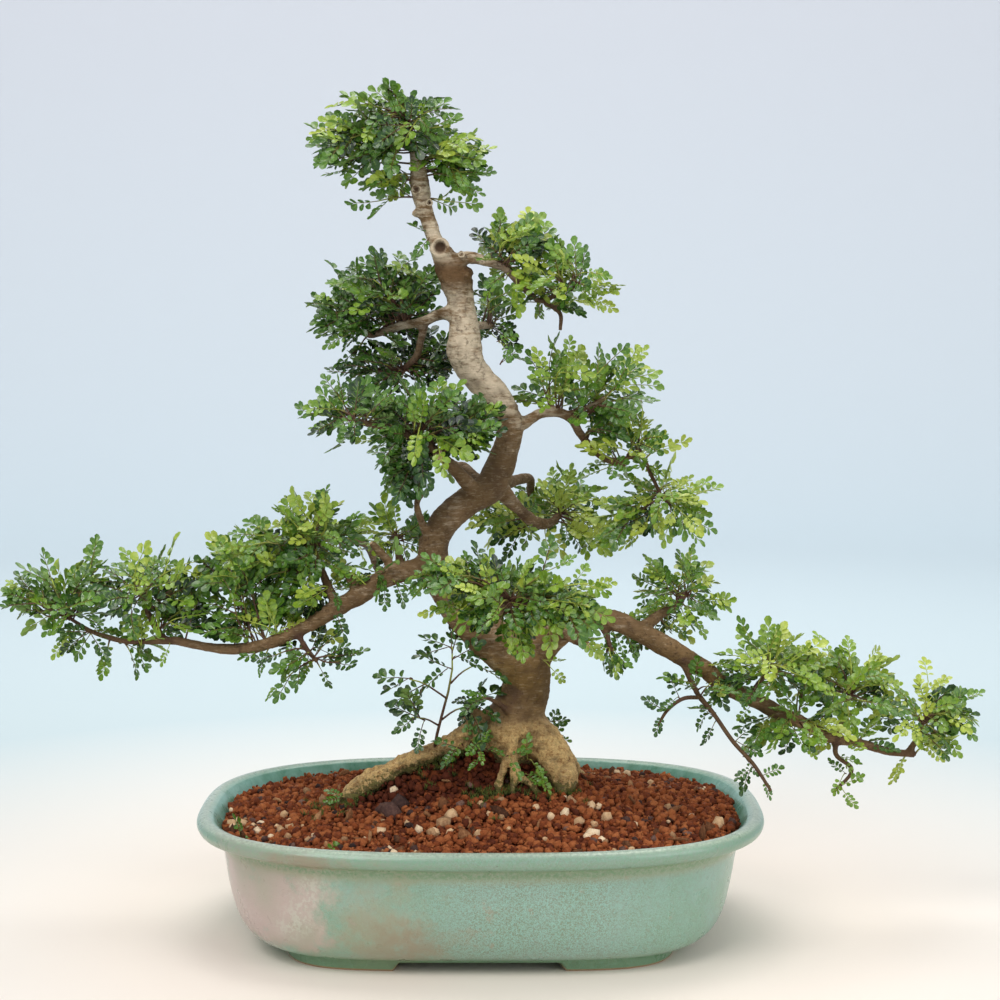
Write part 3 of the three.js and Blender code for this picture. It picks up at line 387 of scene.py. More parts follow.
def value_noise(places, size, seed):
    """Each corner of a lattice with cells of this size gets a number from -1 to 1 by hashing its
    indices, and a place gets the smooth mix of the eight corners round it."""
    scaled = places / size
    cell = np.floor(scaled).astype(np.int64)
    share = scaled - cell
    share = share * share * (3 - 2 * share)
    total = np.zeros(places.shape[:-1])
    for corner in itertools.product((0, 1), repeat=3):
        at = cell + corner
        mixed = at[..., 0] * HASH_X ^ at[..., 1] * HASH_Y ^ at[..., 2] * HASH_Z ^ seed * HASH_SEED
        mixed = (mixed ^ (mixed >> 13)) * HASH_MIX & 0x7FFFFFFF
        mixed = (mixed ^ (mixed >> 16)) & 0xFFFF
        weight = np.prod(np.where(corner, share, 1 - share), axis=-1)
        total += weight * (mixed / 32767.5 - 1)
    return total


def fractal_noise(places, size, seed, layers=3):
    """Value noise summed over layers, each half as large and half as strong as the last."""
    return sum(value_noise(places, size / 2**k, seed + k) / 2**k for k in range(layers))


def smooth_path(route, step):
    """A curve through the rows of a route, read at even distances: between two rows it is the cubic
    whose slope at each of them is the route's mean slope there. Radii follow the same cubics."""
    gaps = np.linalg.norm(np.diff(route[:, :3], axis=0), axis=1)
    knots = np.concatenate(([0.0], np.cumsum(gaps)))
    slopes = np.gradient(route, knots, axis=0)
    where = np.linspace(0.0, knots[-1], max(3, math.ceil(knots[-1] / step) + 1))
    piece = np.clip(np.searchsorted(knots, where, side="right") - 1, 0, len(gaps) - 1)
    span = gaps[piece][:, None]
    u = (where - knots[piece])[:, None] / span
    return (
        (2 * u**3 - 3 * u**2 + 1) * route[piece]
        + (u**3 - 2 * u**2 + u) * span * slopes[piece]
        + (3 * u**2 - 2 * u**3) * route[piece + 1]
        + (u**3 - u**2) * span * slopes[piece + 1]
    )


def cut_corners(rows, times):
    """Chaikin's curve: each edge between two rows is cut at a quarter and three quarters, and the
    ends stay. It rounds a profile without overshooting it."""
    for _ in range(times):
        cuts = np.stack((0.75 * rows[:-1] + 0.25 * rows[1:], 0.25 * rows[:-1] + 0.75 * rows[1:]), 1)
        rows = np.concatenate((rows[:1], cuts.reshape(-1, rows.shape[1]), rows[-1:]))
    return rows


def grid_faces(rows, columns):
    """Quads of a grid whose columns close on themselves, with the next column to the right and the
    next row ahead."""
    row, column = np.mgrid[0 : rows - 1, 0:columns]
    after = (column + 1) % columns
    here, ahead = row * columns, (row + 1) * columns
    return np.stack((here + column, here + after, ahead + after, ahead + column), -1).reshape(-1, 4)


def capped_faces(rows, columns):
    """The quads of such a grid, and a fan of triangles over its first row, round the corner after
    the grid, and over its last row, round the corner after that."""
    column = np.arange(columns)
    after = (column + 1) % columns
    centre = np.full(columns, rows * columns)
    last = (rows - 1) * columns
    return [
        grid_faces(rows, columns),
        np.stack((centre, after, column), -1),
        np.stack((centre + 1, last + column, last + after), -1),
    ]


def repeated(faces, copies, corners):
    """A shape's faces once for each of its copies, which have this many corners each."""
    return (faces[None] + (np.arange(copies) * corners)[:, None, None]).reshape(-1, faces.shape[-1])


def tube(path, sides, swell=None):
    """A round limb. At row i of the path and angle v, the place is the row's own plus its radius
    times cos v along the side and sin v along the lift, and swell widens it place by place. A
    smaller row beyond each end rounds it off, and a centre closes it."""
    ahead = unit(np.gradient(path[:, :3], axis=0))
    axis = np.eye(3)[np.abs(ahead).max(axis=0).argmin()]
    side = unit(np.cross(ahead, axis))
    lift = np.cross(ahead, side)
    turn = np.arange(sides) * 2 * math.pi / sides
    ring = np.cos(turn)[None, :, None] * side[:, None] + np.sin(turn)[None, :, None] * lift[:, None]
    radius = path[:, 3:4]
    if swell is not None:
        radius = radius * swell(path, turn)
    grid = path[:, None, :3] + radius[..., None] * ring
    bulge = 0.35 * path[[0, -1], 3:4] * ahead[[0, -1]] * [[-1], [1]]
    ends = path[[0, -1], :3] + bulge
    shoulders = grid[[0, -1]] * 0.62 + path[[0, -1], None, :3] * 0.38 + 0.8 * bulge[:, None]
    grid = np.concatenate((shoulders[:1], grid, shoulders[1:]))
    return np.concatenate((grid.reshape(-1, 3), ends)), capped_faces(len(grid), sides)


def many_tubes(paths, radii, sides):
    """Thin stems as one array: paths are stems by rows by x, y, z. Each is a tube as above, whose
    side is square to its own chord, and whose ends close at a centre."""
    stems, rows = paths.shape[:2]
    chord = unit(paths[:, -1] - paths[:, 0])
    axis = np.eye(3)[np.abs(chord).argmin(axis=1)]
    side = unit(np.cross(chord, axis))
    lift = np.cross(chord, side)
    turn = np.arange(sides) * 2 * math.pi / sides
    ring = np.cos(turn)[:, None] * side[:, None] + np.sin(turn)[:, None] * lift[:, None]
    grid = paths[:, :, None] + radii[:, :, None, None] * ring[:, None]
    corners = np.concatenate((grid.reshape(stems, -1, 3), paths[:, :1], paths[:, -1:]), 1)
    return corners, [repeated(faces, stems, corners.shape[1]) for faces in capped_faces(rows, sides)]


class Shape:
    """Surfaces gathered for one mesh: their corners and faces, and the numbers on them that the
    finish reads."""

    def __init__(self):
        self.corners, self.faces, self.values, self.face_values = [], [], [], []
        self.smooth, self.count = [], 0

    def add(self, corners, faces, face_values=None, smooth=True, **values):
        """Adds corners, the arrays of their faces, and numbers: on the corners one value or one
        each, and on the faces a list with one such entry for each array."""
        corners = np.asarray(corners, float).reshape(-1, 3)
        self.corners.append(corners)
        self.values.append((len(corners), values))
        for i, face in enumerate(faces):
            self.faces.append(np.asarray(face) + self.count)
            self.smooth.append(np.full(len(face), smooth))
            self.face_values.append((len(face), {k: v[i] for k, v in (face_values or {}).items()}))
        self.count += len(corners)

    def mesh(self, name):
        """The gathered surfaces as one mesh, with each number as an attribute of its own."""
        mesh = bpy.data.meshes.new(name)
        corners = np.concatenate(self.corners)
        mesh.vertices.add(len(corners))
        mesh.vertices.foreach_set("co", corners.astype(np.float32).ravel())
        sizes = np.concatenate([np.full(len(f), f.shape[1]) for f in self.faces])
        loops = np.concatenate([f.ravel() for f in self.faces]).astype(np.int32)
        mesh.loops.add(len(loops))
        mesh.loops.foreach_set("vertex_index", loops)
        mesh.polygons.add(len(sizes))
        starts = np.concatenate(([0], np.cumsum(sizes)[:-1])).astype(np.int32)
        mesh.polygons.foreach_set("loop_start", starts)
        mesh.polygons.foreach_set("use_smooth", np.concatenate(self.smooth))
        mesh.update(calc_edges=True)
        for kind, given in (("POINT", self.values), ("FACE", self.face_values)):
            for key in sorted({key for _, values in given for key in values}):
                filled = [np.broadcast_to(values.get(key, 0.0), count) for count, values in given]
                made = mesh.attributes.new(key, "FLOAT", kind)
                made.data.foreach_set("value", np.concatenate(filled).astype(np.float32))
        return mesh


def corner_normals(mesh):
    """The places of a mesh's corners and the normals there."""
    places = np.empty(len(mesh.vertices) * 3, np.float32)
    normals = np.empty_like(places)
    mesh.vertices.foreach_get("co", places)
    mesh.vertex_normals.foreach_get("vector", normals)
    return places.reshape(-1, 3).astype(float), normals.reshape(-1, 3).astype(float)


def faces_of(mesh):
    """A mesh's faces as one array for each number of corners."""
    starts = np.empty(len(mesh.polygons), np.int32)
    sizes = np.empty(len(mesh.polygons), np.int32)
    loops = np.empty(len(mesh.loops), np.int32)
    mesh.polygons.foreach_get("loop_start", starts)
    mesh.polygons.foreach_get("loop_total", sizes)
    mesh.loops.foreach_get("vertex_index", loops)
    return [loops[starts[sizes == n][:, None] + np.arange(n)] for n in np.unique(sizes)]


def with_modifiers(mesh, modifiers):
    """The mesh after modifiers, each given as its kind and settings."""
    holder = bpy.data.objects.new(mesh.name, mesh)
    bpy.context.scene.collection.objects.link(holder)
    for kind, settings in modifiers:
        modifier = holder.modifiers.new(kind, kind)
        for key, value in settings.items():
            setattr(modifier, key, value)
    depsgraph = bpy.context.evaluated_depsgraph_get()
    made = bpy.data.meshes.new_from_object(holder.evaluated_get(depsgraph))
    bpy.data.objects.remove(holder)
    return made


def new_piece(name, mesh, finish, nodes=()):
    """A finished piece: it rides on the tree's one body and stands for the nodes that it replaces."""
    mesh.materials.clear()
    mesh.materials.append(finish)
    piece = bpy.data.objects.new(name, mesh)
    bpy.context.scene.collection.objects.link(piece)
    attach(piece, "root")
    if nodes:
        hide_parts(*nodes)
    return piece


def turned(draw, count):
    """Random turns, as a count of 3 by 3 matrices, from evenly spread quaternions."""
    w, x, y, z = unit(draw.normal(size=(count, 4))).T
    rows = [
        [1 - 2 * (y * y + z * z), 2 * (x * y - z * w), 2 * (x * z + y * w)],
        [2 * (x * y + z * w), 1 - 2 * (x * x + z * z), 2 * (y * z - x * w)],
        [2 * (x * z - y * w), 2 * (y * z + x * w), 1 - 2 * (x * x + y * y)],
    ]
    return np.array(rows).transpose(2, 0, 1)


# Finishes

def srgb(red, green, blue):
    """A colour from 0 to 255 as the linear numbers that Blender keeps."""
    share = np.array([red, green, blue]) / 255
    return tuple(np.where(share > 0.04045, ((share + 0.055) / 1.055) ** 2.4, share / 12.92).tolist())


def colour_setting(name, description, red, green, blue):
    """A colour that a user can change."""
    return FloatVectorProperty(
        name=name, description=description, default=srgb(red, green, blue), size=3, min=0, max=1,
        subtype="COLOR",
    )


def length_setting(name, description, millimetres, most=1.0):
    """A length that a user can change, kept in metres."""
    return FloatProperty(
        name=name, description=description, default=millimetres * MM, min=0, max=most, precision=4,
        unit="LENGTH",
    )


def share_setting(name, description, share, most):
    """A plain share that a user can change."""
    return FloatProperty(name=name, description=description, default=share, min=0, max=most)


def count_setting(name, description, count):
    """A number of pieces that a user can change."""
    return IntProperty(name=name, description=description, default=count, min=0, max=600)


def connect(tree, socket, value):
    """Links a value that is itself a socket, and sets any other."""
    if isinstance(value, bpy.types.NodeSocket):
        tree.links.new(value, socket)
    else:
        socket.default_value = value


class Nodes:
    """Adds nodes to one tree. A value that is a socket is linked, and any other is set."""

    def __init__(self, tree):
        self.tree = tree

    def add(self, kind, inputs=None, **settings):
        """A new node with its settings and its inputs."""
        node = self.tree.nodes.new("ShaderNode" + kind)
        node.location = (180 * len(self.tree.nodes), 0)
        for key, value in settings.items():
            setattr(node, key, value)
        for key, value in (inputs or {}).items():
            connect(self.tree, node.inputs[key], value)
        return node

    def attribute(self, name):
        """The number of this name on the mesh."""
        return self.add("Attribute", attribute_name=name).outputs["Fac"]

    def place(self):
        """The place on the piece."""
        return self.add("TexCoord").outputs["Object"]

    def stretched(self, scale):
        """The place, scaled along each axis."""
        return self.add("Mapping", {"Vector": self.place(), "Scale": scale}).outputs[0]

    def noise(self, scale, place=None, detail=2.0, roughness=0.5):
        """Noise with this many cells to the metre."""
        inputs = {"Scale": scale, "Detail": detail, "Roughness": roughness}
        inputs["Vector"] = place or self.place()
        return self.add("TexNoise", inputs).outputs["Fac"]

    def remap(self, value, low, high, to_low=0.0, to_high=1.0):
        """The range from low to high carried evenly to another, and held at its ends."""
        inputs = {"Value": value, "From Min": low, "From Max": high, "To Min": to_low, "To Max": to_high}
        return self.add("MapRange", inputs).outputs[0]

    def math(self, operation, *values):
        """One operation on one or two numbers."""
        return self.add("Math", dict(enumerate(values)), operation=operation).outputs[0]

    def plus(self, first, second):
        """The sum of two numbers."""
        return self.math("ADD", first, second)

    def times(self, first, second):
        """The product of two numbers."""
        return self.math("MULTIPLY", first, second)

    def mix(self, share, first, second):
        """The first colour where the share is 0, and the second where it is 1."""
        inputs = {0: share, 6: filled(first), 7: filled(second)}
        return self.add("Mix", inputs, data_type="RGBA").outputs[2]

    def ramp(self, value, stops):
        """A colour read from stops of place and colour."""
        node = self.add("ValToRGB", {0: value})
        steps = node.color_ramp.elements
        while len(steps) < len(stops):
            steps.new(1.0)
        for step, (where, colour) in zip(steps, stops):
            step.position = where
            step.color = filled(colour)
        return node.outputs[0]

    def group(self, tree, inputs):
        """What a placed group puts out."""
        return self.add("Group", inputs, node_tree=tree).outputs[0]

    def flecks(self, place, scale, cut):
        """The mask of the Flecks group."""
        return self.group(fleck_group(), {"Vector": place, "Scale": scale, "Cut": cut})

    def relief(self, place, scale, strength, height=0.0):
        """The normal of the Relief group."""
        inputs = {"Vector": place, "Scale": scale, "Strength": strength, "Height": height}
        return self.group(relief_group(), inputs)


def filled(colour):
    """A colour with full alpha, or a socket as it is."""
    return colour if isinstance(colour, bpy.types.NodeSocket) else (*tuple(colour)[:3], 1.0)


def node_group(name, inputs, outputs):
    """An empty shader group with named sockets, and the nodes at its two ends."""
    tree = bpy.data.node_groups.new(name, "ShaderNodeTree")
    for way, sockets in (("INPUT", inputs), ("OUTPUT", outputs)):
        for key, kind in sockets.items():
            tree.interface.new_socket(key, in_out=way, socket_type="NodeSocket" + kind)
    return tree, Nodes(tree), tree.nodes.new("NodeGroupInput"), tree.nodes.new("NodeGroupOutput")


def fleck_group():
    """Group Flecks: a mask of small irregular flecks. Fine noise, read at Scale, is cut at Cut with
    soft edges, and coarser noise thins the flecks out here and there."""
    name = "Flecks"
    if name in bpy.data.node_groups:
        return bpy.data.node_groups[name]
    inputs = {"Vector": "Vector", "Scale": "Float", "Cut": "Float"}
    tree, nodes, start, end = node_group(name, inputs, {"Mask": "Float"})
    fine = nodes.noise(start.outputs["Scale"], start.outputs["Vector"], 3.0, 0.6)
    wide = nodes.noise(nodes.times(start.outputs["Scale"], 0.08), start.outputs["Vector"])
    top = nodes.plus(start.outputs["Cut"], 0.09)
    mask = nodes.remap(fine, start.outputs["Cut"], top)
    thinned = nodes.times(mask, nodes.remap(wide, 0.3, 0.6))
    tree.links.new(thinned, end.inputs["Mask"])
    return tree


def relief_group():
    """Group Relief: a normal from a height, which is noise at the Scale, 0.35 times noise at four
    times the Scale, and the Height that is given."""
    name = "Relief"
    if name in bpy.data.node_groups:
        return bpy.data.node_groups[name]
    inputs = {"Vector": "Vector", "Scale": "Float", "Strength": "Float", "Height": "Float"}
    tree, nodes, start, end = node_group(name, inputs, {"Normal": "Vector"})
    coarse = nodes.noise(start.outputs["Scale"], start.outputs["Vector"], 4.0, 0.6)
    fine = nodes.noise(nodes.times(start.outputs["Scale"], 4.0), start.outputs["Vector"], 2.0)
    height = nodes.plus(coarse, nodes.times(fine, 0.35))
    height = nodes.plus(height, start.outputs["Height"])
    bump = nodes.add("Bump", {"Strength": start.outputs["Strength"], "Distance": 0.0008, "Height": height})
    tree.links.new(bump.outputs[0], end.inputs["Normal"])
    return tree


def new_finish(name):
    """An empty material, its nodes and its Principled shader."""
    finish = bpy.data.materials.new(name)
    finish.use_nodes = True
    shader = finish.node_tree.nodes["Principled BSDF"]
    return finish, Nodes(finish.node_tree), shader


def wire(finish, shader, **inputs):
    """Sets or links the shader's sockets, given with spaces written as underscores."""
    for key, value in inputs.items():
        connect(finish.node_tree, shader.inputs[key.replace("_", " ")], value)
    return finish


def worm_group():
    """Group Worms: thin winding lines, as a glaze has where it crawls. They run where noise, bent by
    a coarser noise, is near its middle value; Width says how near."""
    name = "Worms"
    if name in bpy.data.node_groups:
        return bpy.data.node_groups[name]
    inputs = {"Vector": "Vector", "Scale": "Float", "Width": "Float"}
    tree, nodes, start, end = node_group(name, inputs, {"Mask": "Float"})
    given = {key: start.outputs[key] for key in ("Vector", "Scale")} | {"Detail": 1.5, "Distortion": 0.7}
    noise = nodes.add("TexNoise", given).outputs["Fac"]
    away = nodes.math("ABSOLUTE", nodes.math("SUBTRACT", noise, 0.5))
    line = nodes.remap(away, 0.0, start.outputs["Width"], 1.0, 0.0)
    tree.links.new(line, end.inputs["Mask"])
    return tree


def glaze_finish(look):
    """Mottled celadon glaze. It reads where the glaze crawled into winding lines, turned lilac,
    olive or brown, gathered under the bead, thinned on the crest, where a painted highlight also
    lightens it, darkened at the foot and stayed off the clay."""
    finish, nodes, shader = new_finish("celadon_glaze")
    place = nodes.place()
    cloud = nodes.noise(30.0, place, 4.0, 0.62)
    patch = nodes.remap(cloud, 0.3, 0.7, -0.3, 0.3)
    ragged = nodes.remap(nodes.noise(75.0, place, 5.0, 0.68), 0.3, 0.7, -0.4, 0.4)
    mottle = nodes.noise(520.0, place, 3.0, 0.7)
    worms = nodes.group(worm_group(), {"Vector": place, "Scale": 860.0, "Width": 0.1})

    def spread(colour, key, low, high, most, tint):
        """The tint laid over the colour where the number on the mesh, made ragged, is high."""
        share = nodes.remap(nodes.plus(nodes.attribute(key), ragged), low, high, 0.0, most)
        return nodes.mix(share, colour, tint)

    colour = nodes.mix(nodes.remap(cloud, 0.36, 0.64), look.celadon, look.green)
    colour = nodes.mix(nodes.remap(mottle, 0.45, 0.7, 0.0, 0.4), colour, look.mottle)
    crawl = nodes.remap(nodes.plus(nodes.attribute("crawl"), patch), 0.3, 0.95)
    ground = nodes.mix(nodes.times(crawl, 0.5), colour, look.mottle)
    shares = nodes.times(worms, nodes.remap(crawl, 0.0, 1.0, 0.25, 0.7))
    colour = nodes.mix(shares, ground, look.turquoise)
    colour = spread(colour, "olive", 0.25, 0.85, 0.7, look.olive)
    colour = spread(colour, "brown", 0.3, 0.95, 0.55, look.brown)
    warm = nodes.mix(nodes.remap(nodes.noise(24.0, place), 0.4, 0.62), look.lilac, look.ash)
    colour = spread(colour, "lilac", 0.3, 0.8, 0.85, warm)
    dust = nodes.flecks(place, 420.0, 0.47)
    pale = nodes.remap(nodes.plus(nodes.attribute("pale"), ragged), 0.25, 0.9)
    colour = nodes.mix(nodes.times(pale, nodes.remap(dust, 0.0, 1.0, 0.06, 0.42)), colour, look.crest)
    colour = nodes.mix(nodes.times(nodes.attribute("neck"), 0.62), colour, look.neck)
    dark = nodes.times(nodes.attribute("under"), nodes.remap(mottle, 0.4, 0.62, 0.15, 0.9))
    colour = nodes.mix(dark, colour, look.foot)
    rim = nodes.mix(nodes.remap(mottle, 0.4, 0.65), look.rim, look.green)
    colour = nodes.mix(nodes.times(nodes.attribute("bead"), 0.72), colour, rim)
    colour = spread(colour, "stain", 0.3, 0.95, 0.62, look.brown)
    streak = nodes.noise(90.0, nodes.stretched((1.0, 1.0, 0.22)), 4.0, 0.65)
    inner = nodes.mix(nodes.remap(streak, 0.35, 0.65, 0.0, 0.7), look.inner, look.turquoise)
    colour = nodes.mix(nodes.times(nodes.attribute("inner"), 0.9), colour, inner)
    colour = nodes.mix(nodes.times(nodes.attribute("foot"), 0.75), colour, look.foot)
    # Painted highlight along the top of the rim, laid over its thin pale glaze
    crest = nodes.times(nodes.attribute("crest"), nodes.remap(mottle, 0.35, 0.65, 0.1, 0.65))
    colour = nodes.mix(crest, colour, look.crest)
    specks = nodes.times(nodes.flecks(place, 300.0, 0.72), 0.8)
    colour = nodes.mix(specks, colour, look.speck)
    raw = nodes.attribute("raw")
    colour = nodes.mix(raw, colour, look.clay)
    gloss = nodes.remap(nodes.noise(90.0, place, 3.0), 0.3, 0.7, 0.24, 0.38)
    rough = nodes.plus(nodes.times(raw, 0.5), gloss)
    relief = nodes.relief(place, 240.0, 0.2, nodes.times(worms, 0.25))
    coat = nodes.remap(raw, 0.0, 1.0, 0.3, 0.0)
    return wire(finish, shader, Base_Color=colour, Roughness=rough, Normal=relief,
                Coat_Weight=coat, Coat_Roughness=0.14, IOR=1.5)


def bark_finish(look):
    """Bark from smooth pale upper wood to rough ochre roots, with fine dark and pale specks, pores
    drawn out across the limb, moss, cut faces and the reddish brown of twigs."""
    finish, nodes, shader = new_finish("pepper_bark")
    place = nodes.place()
    banded = nodes.stretched((0.5, 0.5, 2.0))
    cloud = nodes.noise(62.0, place, 5.0, 0.62)
    grain = nodes.noise(560.0, banded, 4.0, 0.65)
    colour = nodes.mix(nodes.remap(cloud, 0.32, 0.66), look.brown, look.tan)
    patchy = nodes.remap(nodes.noise(190.0, banded, 5.0, 0.7), 0.34, 0.66, -0.55, 0.4)
    pale = nodes.plus(nodes.attribute("pale"), patchy)
    pale = nodes.plus(pale, nodes.remap(cloud, 0.3, 0.7, -0.25, 0.3))
    colour = nodes.mix(nodes.remap(pale, 0.25, 0.8), colour, look.pale)
    # Painted shadow of the pads above: where the brown mask is high, the middle of the trunk is darkened
    # towards brown
    shaded = nodes.times(nodes.attribute("brown"), nodes.remap(cloud, 0.3, 0.6, 0.9, 0.55))
    colour = nodes.mix(shaded, colour, look.brown)
    colour = nodes.mix(nodes.attribute("rust"), colour, look.rust)
    grit = nodes.noise(380.0, place, 5.0, 0.8)
    root = nodes.mix(nodes.remap(grit, 0.36, 0.58), look.root_dark, look.root)
    colour = nodes.mix(nodes.attribute("root"), colour, root)
    olive = nodes.times(nodes.attribute("neck"), nodes.remap(cloud, 0.35, 0.6, 0.35, 0.9))
    colour = nodes.mix(olive, colour, look.neck)
    # Painted shade: the hollows of the bark's relief, and thin twigs a little, are darkened towards the
    # dark colour
    colour = nodes.mix(nodes.times(nodes.attribute("shade"), 0.5), colour, look.dark)
    dark = nodes.flecks(place, 380.0, 0.56)
    colour = nodes.mix(nodes.times(dark, 0.5), colour, look.dark)
    light = nodes.flecks(banded, 520.0, 0.57)
    colour = nodes.mix(nodes.times(light, 0.28), colour, look.lenticel)
    colour = nodes.mix(nodes.remap(grain, 0.4, 0.7, 0.0, 0.22), colour, look.dark)
    twig = nodes.mix(nodes.remap(cloud, 0.35, 0.65), look.twig, look.brown)
    colour = nodes.mix(nodes.attribute("twig"), colour, twig)
    growth = nodes.noise(420.0, place, 4.0, 0.7)
    moss = nodes.plus(nodes.attribute("moss"), nodes.remap(growth, 0.3, 0.7, -0.5, 0.5))
    moss_colour = nodes.mix(nodes.remap(grain, 0.35, 0.65), look.moss_dark, look.moss)
    colour = nodes.mix(nodes.remap(moss, 0.5, 0.75, 0.0, 0.8), colour, moss_colour)
    cut = nodes.mix(nodes.remap(grain, 0.3, 0.7), look.cut, look.lenticel)
    colour = nodes.mix(nodes.attribute("cut"), colour, cut)
    colour = nodes.mix(nodes.attribute("hollow"), colour, look.hollow)
    rough = nodes.remap(grain, 0.3, 0.7, 0.6, 0.88)
    relief = nodes.relief(banded, 420.0, 0.8, dark)
    return wire(finish, shader, Base_Color=colour, Roughness=rough, Normal=relief, Specular_IOR_Level=0.3)


def leaf_finish(name, look):
    """Glossy leaflets from dark old green to bright young green, with a paler midrib and underside,
    and the stems that carry them, brown at the foot and green at the tip. In a pad the dark end also
    paints the shade of its core, and the bright end the light on its top."""
    finish, nodes, shader = new_finish(name)
    place = nodes.place()
    uneven = nodes.remap(nodes.noise(420.0, place), 0.3, 0.7, -0.08, 0.08)
    # The youth number of a pad's leaves also carries painted shade in its core and painted light on its top
    age_and_painted_light = nodes.plus(nodes.attribute("youth"), uneven)
    stops = [(0.0, look.shade), (0.3, look.old), (0.6, look.green), (0.82, look.bright), (1.0, look.young)]
    blade = nodes.ramp(age_and_painted_light, stops)
    rib = nodes.remap(nodes.attribute("across"), 0.0, 0.3, 0.4, 0.0)
    blade = nodes.mix(rib, blade, look.rib)
    blade = nodes.mix(nodes.times(nodes.attribute("under"), 0.45), blade, look.underside)
    stem = nodes.ramp(nodes.attribute("youth"), [(0.0, look.twig), (0.45, look.twig), (0.9, look.young)])
    woody = nodes.attribute("stem")
    colour = nodes.mix(woody, blade, stem)
    shine = nodes.remap(nodes.noise(150.0, place, 2.0), 0.3, 0.7, 0.22, 0.4)
    dull = nodes.math("MAXIMUM", nodes.attribute("under"), woody)
    rough = nodes.plus(shine, nodes.times(dull, 0.25))
    relief = nodes.relief(place, 700.0, 0.12)
    coat = nodes.remap(dull, 0.0, 1.0, 0.32, 0.0)
    return wire(finish, shader, Base_Color=colour, Roughness=rough, Normal=relief,
                Coat_Weight=coat, Coat_Roughness=0.26, IOR=1.48)


def grain_finish(name, dark, middle, light, scale, strength):
    """Dry mineral grains or bark chips: each has its own tint, with mottling and a pitted face."""
    finish, nodes, shader = new_finish(name)
    place = nodes.place()
    mottle = nodes.noise(scale, place, 4.0, 0.65)
    tint = nodes.plus(nodes.attribute("tint"), nodes.remap(mottle, 0.3, 0.7, -0.2, 0.2))
    colour = nodes.ramp(tint, [(0.0, dark), (0.5, middle), (1.0, light)])
    pits = nodes.flecks(place, scale * 1.6, 0.6)
    colour = nodes.mix(nodes.times(pits, 0.55), colour, dark)
    relief = nodes.relief(place, scale, strength, pits)
    rough = nodes.remap(mottle, 0.3, 0.7, 0.82, 0.98)
    return wire(finish, shader, Base_Color=colour, Roughness=rough, Normal=relief, Specular_IOR_Level=0.2)


def moss_finish(look):
    """Moss blades, dark at the foot and fresh at the tip."""
    finish, nodes, shader = new_finish("moss_green")
    tint = nodes.plus(nodes.attribute("tint"), nodes.remap(nodes.noise(300.0), 0.3, 0.7, -0.2, 0.2))
    colour = nodes.ramp(tint, [(0.0, look.moss_dark), (0.6, look.moss), (1.0, look.moss_tip)])
    return wire(finish, shader, Base_Color=colour, Roughness=0.8, Specular_IOR_Level=0.25)


def plastic_finish(look):
    """Matt dark plastic with a faint moulded grain."""
    finish, nodes, shader = new_finish("mesh_plastic")
    dust = nodes.noise(500.0, None, 3.0)
    colour = nodes.mix(nodes.remap(dust, 0.4, 0.7, 0.0, 0.35), look.plastic, look.dust)
    rough = nodes.remap(dust, 0.3, 0.7, 0.5, 0.7)
    relief = nodes.relief(nodes.place(), 900.0, 0.2)
    return wire(finish, shader, Base_Color=colour, Roughness=rough, Normal=relief)


# The wood's limbs, kept as the paths that shoots, grains and moss are set against

LIMBS = [smooth_path(in_metres(route), 2 * MM)
         for route in [TRUNK, RIGHT_BRANCH, LEFT_BRANCH, *ROOTS, *FINE_ROOTS, *BRANCHES, *TWIGS]]
STUB_LIMBS = [smooth_path(in_metres(route), 1.5 * MM) for route in STUBS]
SPROUT_LIMBS = [smooth_path(in_metres(route), 2 * MM) for route in SPROUT_STEMS]
SAMPLES = np.concatenate([limb[::2] for limb in LIMBS])
# How many places are set against the samples at once
BLOCK = 4000


def nearest(places, samples, lift=0.0):
    """For each place, the index of the nearest sample and the distance to it. A lift makes samples
    above the place count as further away by that share of their height over it."""
    best = np.empty(len(places), np.int64)
    away = np.empty(len(places))
    for start in range(0, len(places), BLOCK):
        block = slice(start, start + BLOCK)
        gap = places[block, None, :] - samples[None, :, :3]
        far = np.sqrt((gap**2).sum(-1))
        best[block] = (far + lift * np.maximum(-gap[..., 2], 0)).argmin(1)
        away[block] = far[np.arange(len(far)), best[block]]
    return best, away


def from_foot(places):
    """Places in the frame as millimetres from the foot of the tree."""
    return (places - SHIFT) / MM


# Pot

def full_turn(count):
    """Even angles once round."""
    return np.arange(count) * 2 * math.pi / count


def superellipse(half_length, half_depth, power, turn):
    """The point at angle t on the oval where (x / a) to the power n and (y / b) to the power n add
    up to 1, which lies at a distance of ((|cos t| / a)^n + (|sin t| / b)^n)^(-1 / n)."""
    cos, sin = np.cos(turn), np.sin(turn)
    far = ((np.abs(cos) / half_length) ** power + (np.abs(sin) / half_depth) ** power) ** (-1 / power)
    return far * cos, far * sin


